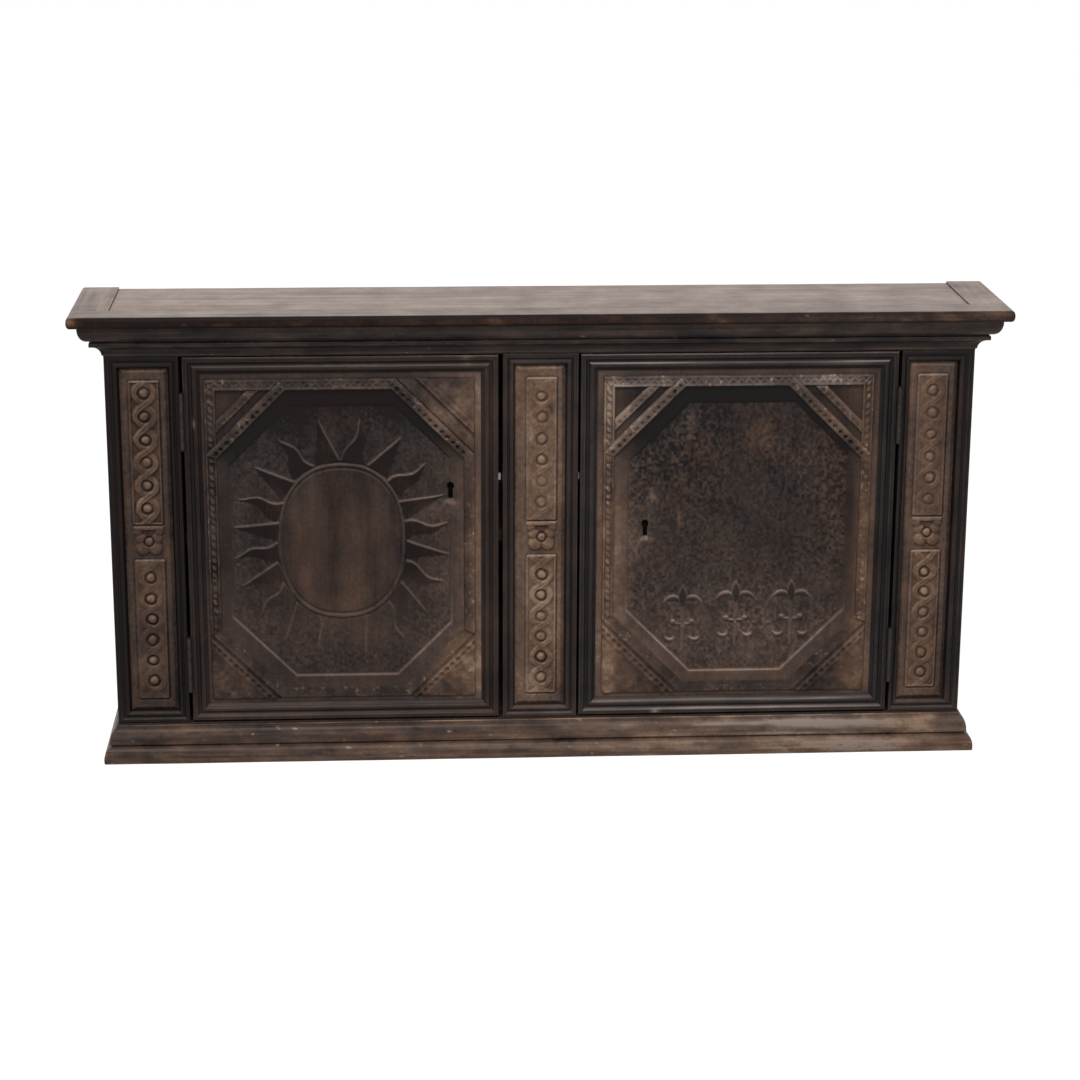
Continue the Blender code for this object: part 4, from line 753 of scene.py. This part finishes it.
def sun_rays(dx, dz):
    """Height of the rays, where they are, and their upper brinks: each blade slopes down from that brink."""
    pitch = 2 * np.pi / 20
    blade, cover, brink = np.zeros(dx.shape), np.zeros(dx.shape), np.zeros(dx.shape)
    sector = np.floor(np.arctan2(dz, dx) / pitch)
    for neighbour in (-1, 0, 1):
        k = sector + neighbour
        bearing = (k + 0.5) * pitch
        lean = bearing - 0.052 * np.sin(2 * bearing)
        root, tip = oval_reach(0.1035, 0.1315, bearing, DISC_FULLNESS), oval_reach(0.1765, 0.207, lean)
        from_x, from_z = root * np.cos(bearing), root * np.sin(bearing)
        way_x, way_z = tip * np.cos(lean) - from_x, tip * np.sin(lean) - from_z
        length = np.hypot(way_x, way_z)
        along = ((dx - from_x) * way_x + (dz - from_z) * way_z) / length
        t = along / length
        sway = np.where(k % 2 == 0, 0.0036 * np.sin(2.5 * np.pi * t), 0.0)
        across = (((dz - from_z) * way_x - (dx - from_x) * way_z) / length - sway) * np.sign(way_x)
        half = 0.97 * root * np.tan(pitch / 2) * (1 - t) + 0.0006
        edge = np.minimum(half - np.abs(across), np.minimum(along, length - along))
        lift = 0.5 + 0.5 * np.clip(across / np.maximum(half, 0.0005), -1, 1)
        here = ease(edge, -0.0010, 0.0012) * (np.abs(t - 0.5) < 0.6)
        better = here > cover
        blade = np.where(better, here * (0.08 + 0.92 * lift), blade)
        brink = np.where(better, here * np.exp(-(((half - across - 0.0008) / 0.0018) ** 2)), brink)
        cover = np.where(better, here, cover)
    return blade, cover, brink


def stroke(x, z, spine, widths):
    """Distance inside a tapered stroke: half its width less the distance to its spine, best of all parts."""
    best = np.full(x.shape, -1.0)
    for (ax, az), (bx, bz), wide, narrow in zip(spine[:-1], spine[1:], widths[:-1], widths[1:]):
        t = ((x - ax) * (bx - ax) + (z - az) * (bz - az)) / ((bx - ax) ** 2 + (bz - az) ** 2)
        t = np.clip(t, 0, 1)
        away = np.hypot(x - ax - t * (bx - ax), z - az - t * (bz - az))
        best = np.maximum(best, (wide + (narrow - wide) * t) / 2 - away)
    return best


def bezier(points, count):
    """A cubic curve through its four guide points, by the usual weights."""
    t = np.linspace(0, 1, count)[:, None]
    p = np.array(points)
    return (1 - t) ** 3 * p[0] + 3 * t * (1 - t) ** 2 * p[1] + 3 * t**2 * (1 - t) * p[2] + t**3 * p[3]


def lily(x, z, foot, size):
    """Distance inside a fleur-de-lis: its lozenge, then its drooping petals, neck, knobs, band, cups and stem."""
    a, b = np.abs(x - foot[0]) / size, (z - foot[1]) / size
    t = np.linspace(0, 1, 9)
    bend = np.radians(np.linspace(200, 345, 9))
    lozenge = stroke(a, b, np.stack((0 * t, 0.64 + 0.36 * t), 1), 0.01 + 0.125 * np.sin(np.pi * t))
    petal = bezier(((0.05, 0.775), (0.12, 0.835), (0.22, 0.81), (0.275, 0.73)), 9)
    cup = np.stack((0.180 + 0.072 * np.cos(bend), 0.235 + 0.075 * np.sin(bend)), 1)
    others = (
        stroke(a, b, petal, 0.05 + 0.04 * np.sin(np.pi * t) - 0.03 * t),
        stroke(a, b, ((0.0, 0.66), (0.0, 0.44)), (0.06, 0.05)),
        0.042 - np.hypot(a - 0.135, b - 0.43),
        0.015 - np.maximum(np.abs(b - 0.405), np.abs(a) - 0.12),
        stroke(a, b, cup, 0.015 + 0.05 * np.sin(np.pi * t)),
        stroke(a, b, ((0.0, 0.37), (0.0, 0.0)), (0.055, 0.03)),
    )
    return size * lozenge, size * np.maximum.reduce(others)


def keyhole_inside(x, z, place):
    """Distance inside a keyhole: a round eye joined to a straight slot below it."""
    eye = 0.0055 - np.hypot(x - place[0], z - place[1] - 0.0075)
    slot = np.minimum(0.0032 - np.abs(x - place[0]), np.minimum(z - place[1] + 0.013, place[1] + 0.0075 - z))
    return np.maximum(eye, slot)


def grid_lines(low, high, fine_low, fine_high, fine, coarse, spot):
    """Grid lines: coarse at the margins, fine over the carving, and finest beside one spot."""
    parts = (np.arange(low, fine_low, coarse), np.arange(fine_low, fine_high, fine), np.arange(fine_high, high, coarse))
    lines = np.concatenate(parts)
    lines = lines[np.abs(lines - spot[0]) > spot[1]]
    close = np.arange(spot[0] - spot[1], spot[0] + spot[1], 0.0007)
    lines = np.sort(np.concatenate((lines, close)))
    return np.concatenate((lines[np.diff(lines, append=high) > 0.0003], [high]))


print("carving helpers ready")

# %% [markdown]
# Now the two panels. Their tone follows the picture: painted shade under the top border, light brown
# where hands have rubbed the lock sides and the lower corners, orange where the wax has gone. Painted
# highlights on the upper brinks of the rays and lilies and on the lower arris of the ground, and
# painted shade on the rays' blades and the upper band, stand in for the light.

# %% Door panels
PANEL_TONE = {
    "left": [(-112, 340, 36, 200, 0.41), (-120, 150, 70, 75, 0.38), (-115, 600, 45, 55, 0.42), (-515, 130, 45, 45, 0.24),
             (-330, 112, 170, 14, 0.14), (-330, 598, 190, 45, -0.26), (-149, 434, 9, 5, 0.55), (-165, 420, 40, 16, 0.16),
             (-513, 370, 12, 150, -0.12), (-520, 597, 40, 35, 0.13), (-335, 230, 160, 90, 0.06), (-440, 550, 80, 60, -0.10),
             (-328, 470, 70, 45, -0.17), (-330, 245, 70, 45, 0.09), (-330, 360, 80, 60, -0.05), (-200, 560, 60, 50, -0.03), (-178, 350, 24, 130, 0.09)],
    "right": [(112, 340, 38, 210, 0.50), (140, 140, 65, 60, 0.36), (515, 140, 50, 55, 0.32), (530, 350, 20, 200, 0.38),
              (316, 610, 190, 16, -0.18), (358, 535, 34, 34, 0.18), (262, 520, 22, 20, 0.16), (181, 440, 6, 14, 0.40),
              (225, 395, 4, 15, 0.38), (483, 523, 17, 12, -0.25), (316, 190, 190, 80, 0.27), (140, 597, 28, 26, -0.06),
              (510, 610, 28, 22, 0.08), (240, 560, 7, 24, 0.24), (169, 366, 9, 5, 0.5), (168, 380, 26, 50, 0.16),
              (200, 530, 50, 60, -0.08), (340, 565, 110, 40, -0.10), (475, 370, 40, 100, 0.07), (200, 330, 40, 90, 0.03), (506, 420, 7, 80, -0.22),
              (320, 118, 130, 16, 0.10), (300, 285, 160, 55, 0.06), (393, 445, 40, 34, -0.08), (235, 500, 44, 32, -0.08)],
}
PANEL_WARM = {
    "left": [(-345, 480, 16, 22, 0.6), (-120, 320, 60, 260, 0.22), (-330, 350, 92, 120, 0.72), (-330, 110, 240, 30, 0.35),
             (-330, 600, 150, 30, 0.80), (-440, 530, 80, 60, -0.20), (-200, 560, 60, 50, -0.25), (-368, 330, 34, 70, 0.30)],
    "right": [(358, 535, 40, 40, 0.6), (262, 520, 26, 24, 0.5), (112, 330, 60, 240, 0.25), (250, 460, 60, 60, 0.20),
              (520, 330, 50, 260, 0.42), (316, 110, 200, 50, 0.40), (460, 520, 50, 50, 0.25), (190, 530, 60, 60, -0.20),
              (510, 600, 40, 40, 0.50), (316, 615, 150, 16, -0.40), (235, 480, 60, 50, 0.20), (470, 450, 40, 100, 0.18)],
}
KEY_PLACE = {"left": (-0.149, 0.4525), "right": (0.169, 0.3845)}
OCTAGON_CUTS = {"left": (0.113, 0.109, 0.126, 0.1225), "right": (0.128, 0.120, 0.132, 0.125)}
GROUND_MARGINS = {"left": (0.0375, 0.0405, 0.0385, 0.045), "right": (0.042, 0.0375, 0.037, 0.045)}
GROUND_CUTS = {"left": (0.102, 0.088, 0.089, 0.097), "right": (0.105, 0.1035, 0.089, 0.099)}
KEYHOLE_SHADE_SCALE = ((0.0, (0.0016, 0.0014, 0.0014)), (1.0, (0.0050, 0.0044, 0.0042)))
DISC_MARKS = [(-372, 470, 14, 34, 0.13), (-298, 360, 16, 50, 0.06), (-395, 380, 14, 50, 0.05), (-330, 330, 12, 60, -0.05),
              (-372, 320, 26, 54, 0.15), (-290, 425, 30, 34, -0.09)]
panel_wood = wood_finish("panel_wood", 0.24, 0.50, ALONG_Z, 0.48, 0.10, (0.26, 0.36, 0.34))
# The keyhole's pit gets a near-black finish of painted shade.
keyhole_painted_shade = wood_finish("keyhole_painted_shade", 0.30, 0.50, ALONG_Z, 0.80, 0.02, scales=(KEYHOLE_SHADE_SCALE, KEYHOLE_SHADE_SCALE))
for word, key in KEY_PLACE.items():
    low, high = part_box("door_" + word + "_panel")
    border_low, border_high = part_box("door_" + word + "_carved_border")
    x = grid_lines(low.x, high.x, border_low.x + 0.034, border_high.x - 0.034, 0.0017, 0.005, (key[0], 0.009))
    z = grid_lines(low.z, high.z, border_low.z + 0.034, border_high.z - 0.034, 0.0017, 0.005, (key[1], 0.016))
    grid_x, grid_z = np.meshgrid(x, z, indexing="ij")
    inset = octagon_inset(grid_x, grid_z, (border_low.x, border_low.z), (border_high.x, border_high.z), OCTAGON_CUTS[word])
    west, east, below, above = GROUND_MARGINS[word]
    ground_low, ground_high = (border_low.x + west, border_low.z + below), (border_high.x - east, border_high.z - above)
    inner = octagon_inset(grid_x, grid_z, ground_low, ground_high, GROUND_CUTS[word])
    slope = np.maximum(inset - 0.0183, 0) / (np.maximum(inset - 0.0183, 0) + np.maximum(-inner, 0) + 1e-6)
    depth = 0.0103 + 0.0027 * slope + 0.0020 * ease(inner, -0.0008, 0.0008)
    ground = ease(inner, 0.0, 0.003)
    if word == "left":
        dx, dz = grid_x - (ground_low[0] + ground_high[0]) / 2 - 0.0015, grid_z - (ground_low[1] + ground_high[1]) / 2 - 0.001
        fade = 0.45 + 0.55 * ease(dz, -0.14, -0.02)
        blade, cover, brink = sun_rays(dx, dz)
        reach = oval_reach(0.102, 0.130, np.arctan2(dz, dx), DISC_FULLNESS)
        rim = (1 - np.hypot(dx, dz) / reach) * 0.114
        on_disc = ease(rim, -0.0012, 0.0006)
        depth -= 0.0032 * blade * ground * fade * (1 - on_disc)
        depth -= on_disc * (0.0030 - 0.0020 * np.exp(-(((rim - 0.0062) / 0.0014) ** 2)) + 0.0016 * ease(rim, 0.0070, 0.060))
        smooth_part = np.maximum(cover * fade, on_disc)
        # Painted light and shade: the rays' upper brinks get a painted highlight, brightest toward the upper right, and
        # their blades painted shade, both cooler in tint.
        shade = cover * fade * ease(dz, -0.12, 0.0) * ground * (1 - on_disc)
        lip = np.exp(-(((rim - 0.0012) / 0.0018) ** 2))
        cool = brink * fade * ground * (1 - on_disc) - 0.8 * shade * (1 - brink) + 0.7 * lip
        painted_crest_highlight = brink * fade * ground * (1 - on_disc)
        carve_tone = (0.50 + 0.22 * ease(dx, -0.02, 0.07) * ease(dz, 0.02, 0.10)) * painted_crest_highlight - 0.18 * shade
        carve_tone += 0.07 * on_disc * ease(rim, 0.004, 0.03) + 0.20 * lip
        carve_tone += on_disc * (0.34 * (cloud(grid_x * 70, grid_z * 7, 3) - 0.5) + patches(grid_x, grid_z, DISC_MARKS))
        roughness = 0.7
    else:
        middle = (border_low.x + border_high.x) / 2
        feet = [(middle + k, border_low.z + 0.077 + rise) for k, rise in ((-0.085, -0.006), (0.003, 0.0), (0.095, 0.001))]
        lozenges, petals = np.maximum.reduce([lily(grid_x, grid_z, foot, 0.114) for foot in feet])
        flowers = np.maximum(lozenges, petals)
        smooth_part = ease(flowers, -0.0010, 0.0012)
        depth -= 0.0017 * smooth_part + 0.0016 * ease(flowers, 0.0006, 0.0055)
        # The lilies' upper edges get a painted highlight, cooler in tint.
        painted_crest_highlight = np.exp(-(((flowers - 0.0010) / 0.0013) ** 2))
        painted_crest_highlight = painted_crest_highlight * (0.3 + 0.7 * np.clip(-np.gradient(flowers, z, axis=1), 0, 1))
        cool = painted_crest_highlight
        carve_tone = 0.05 * smooth_part - 0.24 * ease(lozenges, 0.0016, 0.0034) + 0.42 * painted_crest_highlight
        roughness = 0.95 + patches(grid_x, grid_z, [(316, 220, 170, 60, 0.3), (210, 520, 70, 80, 1.0), (480, 450, 40, 80, 0.5)])
    coarse = cloud(grid_x * 250, grid_z * 200, 2) - 0.5
    punched = roughness * coarse * ground * (1 - smooth_part) * (0.5 + cloud(grid_x * 22, grid_z * 18))
    depth += 0.0013 * punched + 0.0006 * (cloud(grid_x * 30, grid_z * 22, 3) - 0.5)
    # Painted light: slopes that face up are lighter and those that face down darker.
    painted_slope_light = np.clip(np.gradient(depth, z, axis=1), -0.7, 0.9)
    hole = keyhole_inside(grid_x, grid_z, key)
    depth = np.where(hole > 0, 0.0195, depth + 0.0012 * np.exp(-((np.minimum(hole, 0) / 0.0016) ** 2)))
    depth = np.minimum(depth, 0.0198)
    # A painted highlight on the ground's lower arris, in the lower part of the panel only.
    arris = np.exp(-(((inner + 0.0014) / 0.0016) ** 2)) * ease(-grid_z, -0.30, -0.20)
    outside = np.maximum.reduce((border_low.x - grid_x, grid_x - border_high.x, border_low.z - grid_z, grid_z - border_high.z))
    margin = ease(outside, -0.001, 0.003) * (0.6 + 0.8 * ease(grid_z, 0.55, 0.64))
    # Painted shade on the upper half of the sloping band, under the top of the border.
    band = ease(inset, 0.010, 0.018) * (1 - ground) * ease(grid_z, 0.48, 0.56)
    tone = patches(grid_x, grid_z, PANEL_TONE[word])
    tone = tone + 0.9 * np.clip(tone, 0, 0.5) * (cloud(grid_x * 120, grid_z * 105, 3) - 0.5) + carve_tone + 0.42 * arris + 0.16 * margin - 0.20 * band - 0.48 * punched + 0.26 * painted_slope_light
    tone += 0.27 * (cloud(grid_x * 26, grid_z * 14, 3) - 0.5)
    warm = patches(grid_x, grid_z, PANEL_WARM[word]) - 0.5 * cool - 0.4 * arris
    skin = board_skin(grid_x, grid_z, depth, 0.0205, {"wear_and_light": tone, "warm": warm})
    pit = np.ravel(hole)
    choice = np.concatenate([pit[np.minimum(face, pit.size - 1)].max(axis=1) > 0 for face in skin[1]])
    make_piece("door_" + word + "_carved_panel", [skin], [panel_wood, keyhole_painted_shade], "door_" + word,
               ["door_" + word + "_panel"], None, choice)

# %% [markdown]
# The border lies on the panel: an octagon of strips, and in each corner of the door a triangle of
# strips with a second bar across it. The strips have two lips, and between them a zigzag along the
# top, drilled holes on the slants and a rope down the sides. The lower strips are worn flush and the
# lower corners are plain slabs. A strip is a grid along its run and across its width, cut at each end
# by the tangent of half the corner's angle, so that neighbours meet.

# %% Carved borders
def zigzag(step, pitch, v):
    """Pits on both sides of a ridge that runs up and down between the lips as a triangle wave."""
    wave = 1 - 4 * np.abs(step / pitch)
    return -0.0017 * ease(np.abs(v / 0.0048 - wave), 0.30, 1.0) * ease(0.0054 - np.abs(v), 0, 0.0020)


def holes(step, pitch, v):
    """A smooth roll along the outer half, and a row of four-cornered holes beside it."""
    roll = 0.0010 * np.exp(-(((v + 0.0042) / 0.0030) ** 2))
    return roll - 0.0024 * ease(0.0042 - 0.85 * (np.abs(step) + np.abs(v - 0.0024)), 0, 0.0024)


def rope(step, pitch, v):
    """A trough with slanting oval beads in it."""
    slant = np.radians(35)
    oval = np.hypot((step * np.cos(slant) + v * np.sin(slant)) / 0.0060, (v * np.cos(slant) - step * np.sin(slant)) / 0.0038)
    return -0.0020 * ease(0.0064 - np.abs(v), 0, 0.0016) + 0.0026 * dome(oval, 1.0)


def plain(step, pitch, v):
    """No carving left."""
    return 0.0 * v


def carved_strip(start, end, inward, width, mitre, pattern, share, wear, rise=(0.0050, 0.0050)):
    """Height over (s, a): from one rise to the other across the strip, plus lips and a pattern."""
    start, end, inward = np.array(start), np.array(end), np.array(inward)
    length = np.linalg.norm(end - start)
    along = (end - start) / length
    a = np.linspace(0, width, int(width / 0.0010) + 1)
    rows = max(int(length / 0.0012), 3)
    s = mitre[0] * a + np.linspace(0, 1, rows)[:, None] * (length - (mitre[0] + mitre[1]) * a)
    v = np.broadcast_to(a - width / 2, s.shape)
    pitch = length / max(round(length / 0.0126), 1)
    edge = width / 2 - np.abs(v)
    place = start + s[..., None] * along + a[:, None] * inward
    grid_x, grid_z = place[..., 0], place[..., 1]
    hand = s + 0.0070 * (cloud(grid_x * 70, grid_z * 70, 1) - 0.5)
    relief = 0.0007 * np.exp(-(((edge - 0.0022) / 0.0014) ** 2)) + pattern((hand + 0.5 * pitch) % pitch - pitch / 2, pitch, v)
    worn = share * (0.25 + 1.4 * cloud(grid_x * 34, grid_z * 34))
    level = rise[0] + (rise[1] - rise[0]) * a / width
    relief = worn * relief + 0.0009 * (cloud(grid_x * 150, grid_z * 150, 2) - 0.5)
    height = (level + relief) * ease(edge, -0.001, 0.0012)
    wear_and_light = patches(grid_x, grid_z, wear[0]) + 125 * relief + 0.36 * (cloud(grid_x * 60, grid_z * 45) - 0.5)
    wear_and_light += 0.40 * ease(cloud(grid_x * 170, grid_z * 170), 0.68, 0.90)
    warm = 0.2 + patches(grid_x, grid_z, wear[1])
    shown = np.stack((grid_x, front + 0.0100 - height, grid_z), -1)
    hidden = np.stack((grid_x[:, [-1, 0]], np.full((rows, 2), front + 0.0101), grid_z[:, [-1, 0]]), -1)
    wear_and_light, warm = (np.concatenate((field, field[:, [-1, 0]]), 1) for field in (wear_and_light, warm))
    count = len(a) + 2
    ends = [np.arange(count)[None, ::-1], (rows - 1) * count + np.arange(count)[None]]
    return np.concatenate((shown, hidden), 1), [grid_faces(rows, count, True), *ends], {"wear_and_light": wear_and_light, "warm": warm}


def corner_slab(corner, way, cut, groove, share, wear):
    """A raised triangle: a groove beside its slanting edge, a lip, a row of worn holes, then a rough field."""
    r, c = np.linspace(0.04, 1, 76)[:, None], np.linspace(0, 1, 92)
    grid_x, grid_z = corner[0] + way[0] * cut * r * c, corner[1] + way[1] * cut * r * (1 - c)
    slant = cut * (1 - r) / np.sqrt(2) + 0 * c
    edge = np.minimum.reduce((cut * r * c, cut * r * (1 - c), slant))
    step = (cut * np.sqrt(2) * r * (c - 0.5) / 0.0126 + 0.5) % 1 - 0.5
    relief = -0.0024 * share * ease(0.0044 - np.hypot(0.0126 * step, slant - groove - 0.0085), 0, 0.0018)
    relief += 0.0008 * np.exp(-(((slant - groove - 0.0040) / 0.0018) ** 2)) - 0.0012 * ease(slant, groove + 0.013, groove + 0.017)
    relief += 0.0024 * (cloud(grid_x * 110, grid_z * 110) - 0.5)
    sunk = np.exp(-(((slant - groove) / 0.0024) ** 2))
    height = (0.0046 + relief) * ease(edge, -0.0008, 0.0014) * (1 - 0.75 * sunk)
    # The groove beside the slanting edge is darkened with painted shade.
    wear_and_light = patches(grid_x, grid_z, wear[0]) + 150 * relief - 0.20 * sunk + 0.36 * (cloud(grid_x * 45, grid_z * 40) - 0.5)
    warm = 0.3 - 0.3 * sunk + patches(grid_x, grid_z, wear[1])
    return board_skin(grid_x, grid_z, 0.0100 - height, 0.0101, {"wear_and_light": wear_and_light, "warm": warm})


BORDER_TONE = {
    "left": [(-330, 632, 150, 16, 0.35), (-535, 380, 20, 250, 0.32), (-105, 350, 25, 240, 0.55), (-130, 145, 70, 70, 0.77),
             (-510, 140, 50, 60, 0.43), (-330, 110, 200, 20, 0.18), (-120, 610, 40, 50, 0.46), (-470, 580, 70, 60, 0.26),
             (-175, 575, 55, 55, 0.48), (-510, 632, 40, 14, 0.18)],
    "right": [(316, 632, 170, 16, 0.60), (104, 330, 20, 260, 0.71), (130, 145, 65, 65, 0.64), (530, 350, 20, 250, 0.59),
              (510, 145, 55, 60, 0.56), (316, 110, 200, 20, 0.28), (155, 575, 65, 65, 0.71), (480, 580, 70, 60, 0.49),
              (110, 610, 30, 40, 0.30), (480, 634, 50, 7, 0.40)],
}
BORDER_WARM = {
    "left": [(-120, 350, 60, 260, 0.35), (-130, 150, 70, 70, 0.30), (-330, 632, 150, 20, -0.10), (-470, 580, 60, 60, -0.15)],
    "right": [(530, 350, 30, 260, 0.60), (100, 330, 30, 240, 0.35), (316, 634, 190, 14, -1.1), (160, 575, 60, 60, -0.35),
              (510, 150, 50, 60, 0.30), (130, 150, 60, 60, 0.30)],
}
BORDER_SIDES = {"left": ((plain, 0.5), (rope, 1.0)), "right": ((rope, 0.35), (rope, 0.8))}
PIERCED = {"left": (3,), "right": (2, 3)}
STRIP_WIDTH, BAR_WIDTH, BAR_GAP = 0.018, 0.014, 0.012
OCTAGON_MITRE = np.tan(np.pi / 8)
FLUSH = (0.0013, 0.0004)
border_wood = wood_finish("border_wood", 0.10, 0.36, ALONG_Z, 0.55, 0.10, (0.20, 0.34, 0.36))


def border_strips(low, high, cuts, sides, pierced, wear):
    """All strips of one border: eight round the octagon, then a slab, or strips with a bar, in each corner."""
    (x0, z0), (x1, z1), (a, b, c, d) = low, high, cuts
    corner = np.array([(x0 + a, z0), (x1 - b, z0), (x1, z0 + b), (x1, z1 - c),
                       (x1 - c, z1), (x0 + d, z1), (x0, z1 - d), (x0, z0 + a)])
    patterns = ((plain, 0.3), (plain, 0.3), sides[0], (holes, 1.0), (zigzag, 0.9), (holes, 1.0), sides[1], (plain, 0.3))
    skins = []
    for k, (pattern, share) in enumerate(patterns):
        start, end = corner[k], corner[(k + 1) % 8]
        along = (end - start) / np.linalg.norm(end - start)
        rise = FLUSH if k in (0, 1, 7) else (0.0050, 0.0050)
        skins.append(carved_strip(start, end, (-along[1], along[0]), STRIP_WIDTH, (OCTAGON_MITRE,) * 2, pattern, share, wear, rise))
    places = ((x0, z0, 1, 1), (x1, z0, -1, 1), (x1, z1, -1, -1), (x0, z1, 1, -1))
    for k, ((x, z, way_x, way_z), cut) in enumerate(zip(places, cuts)):
        if k not in pierced:
            groove, share = (0.0025, 0.6) if k < 2 else (0.0200, 0.2)
            skins.append(corner_slab((x, z), (way_x, way_z), cut, groove, share, wear))
            continue
        tip = cut - (BAR_GAP + BAR_WIDTH) * np.sqrt(2)
        skins.append(carved_strip((x, z), (x + way_x * cut, z), (0, -1), STRIP_WIDTH, (1, 1), zigzag, 0.8, wear))
        skins.append(carved_strip((x, z), (x, z - cut), (way_x, 0), STRIP_WIDTH, (1, 1), rope, 0.8, wear))
        start, end = (x + way_x * STRIP_WIDTH, z - tip + STRIP_WIDTH), (x + way_x * (tip - STRIP_WIDTH), z - STRIP_WIDTH)
        skins.append(carved_strip(start, end, np.array((way_x, -1)) / np.sqrt(2), BAR_WIDTH, (-1, -1), holes, 0.5, wear))
    return skins


for word, sides in BORDER_SIDES.items():
    low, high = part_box("door_" + word + "_carved_border")
    skins = border_strips((low.x, low.z), (high.x, high.z), OCTAGON_CUTS[word], sides, PIERCED[word],
                          (BORDER_TONE[word], BORDER_WARM[word]))
    make_piece("door_" + word + "_border_strips", skins, [border_wood], "door_" + word,
               ["door_" + word + "_carved_border"], 60)

# %% [markdown]
# The boards of the carcass keep the shape of their solids and get the finish they have on the real
# piece: dark outside, dry and raw inside and behind. Iron hinges and locks are rusty and dull, and
# the bolts and strikes are rubbed bright.

# %% Carcass and iron
def iron_finish(name, dark, bright, roughness, share):
    """Old iron: two colours mixed by rusty blotches, with pits."""
    material = bpy.data.materials.new(name)
    material.use_nodes = True
    tree = material.node_tree
    shader = tree.nodes["Principled BSDF"]
    place = add_node(tree, "TexCoord").outputs["Object"]
    blotches = add_node(tree, "TexNoise", {"Vector": place, "Scale": 120.0, "Detail": 5.0, "Roughness": 0.7}).outputs[0]
    pits = add_node(tree, "TexNoise", {"Vector": place, "Scale": 700.0, "Detail": 2.0}).outputs[0]
    value = sums(tree, "ADD", blotches, share - 0.5)
    stops = ((0.0, dark), (0.5, tuple(0.8 * d + 0.2 * b for d, b in zip(dark, bright))), (1.0, bright))
    tree.links.new(colour_scale(tree, value, stops), shader.inputs["Base Color"])
    tree.links.new(sums(tree, "MULTIPLY_ADD", blotches, 0.3, roughness - 0.15), shader.inputs["Roughness"])
    bump = add_node(tree, "Bump", {"Height": sums(tree, "ADD", blotches, pits), "Strength": 0.25, "Distance": 0.0006})
    tree.links.new(bump.outputs[0], shader.inputs["Normal"])
    shader.inputs["Metallic"].default_value = 0.85
    return material


rail_wood = wood_finish("rail_wood", 0.30, 0.50, ALONG_X, 0.42, 0.10)
raw_along = wood_finish("raw_wood_along", 0.72, 0.75, ALONG_X, 0.72, 0.2)
raw_deep = wood_finish("raw_wood_deep", 0.72, 0.75, ALONG_Y, 0.72, 0.2)
iron = iron_finish("iron", (0.010, 0.0080, 0.0072), (0.16, 0.145, 0.135), 0.55, 0.30)
bright_iron = iron_finish("bright_iron", (0.18, 0.15, 0.13), (0.62, 0.60, 0.57), 0.36, 0.60)
FINISHES = (
    ("frieze_rail base_rail", rail_wood), ("stile_ side_", frame_wood_upright),
    ("bottom_board shelf back_board", raw_along), ("shelf_batten_left shelf_batten_right", raw_deep),
    ("hinge_ lock_case", iron), ("lock_bolt lock_strike", bright_iron),
)
for starts, finish in FINISHES:
    dressed = [name for name in nodes if name.startswith(tuple(starts.split()))]
    for name in dressed:
        nodes[name].data.materials.clear()
        nodes[name].data.materials.append(finish)
    print(finish.name, "on", len(dressed), "solids")
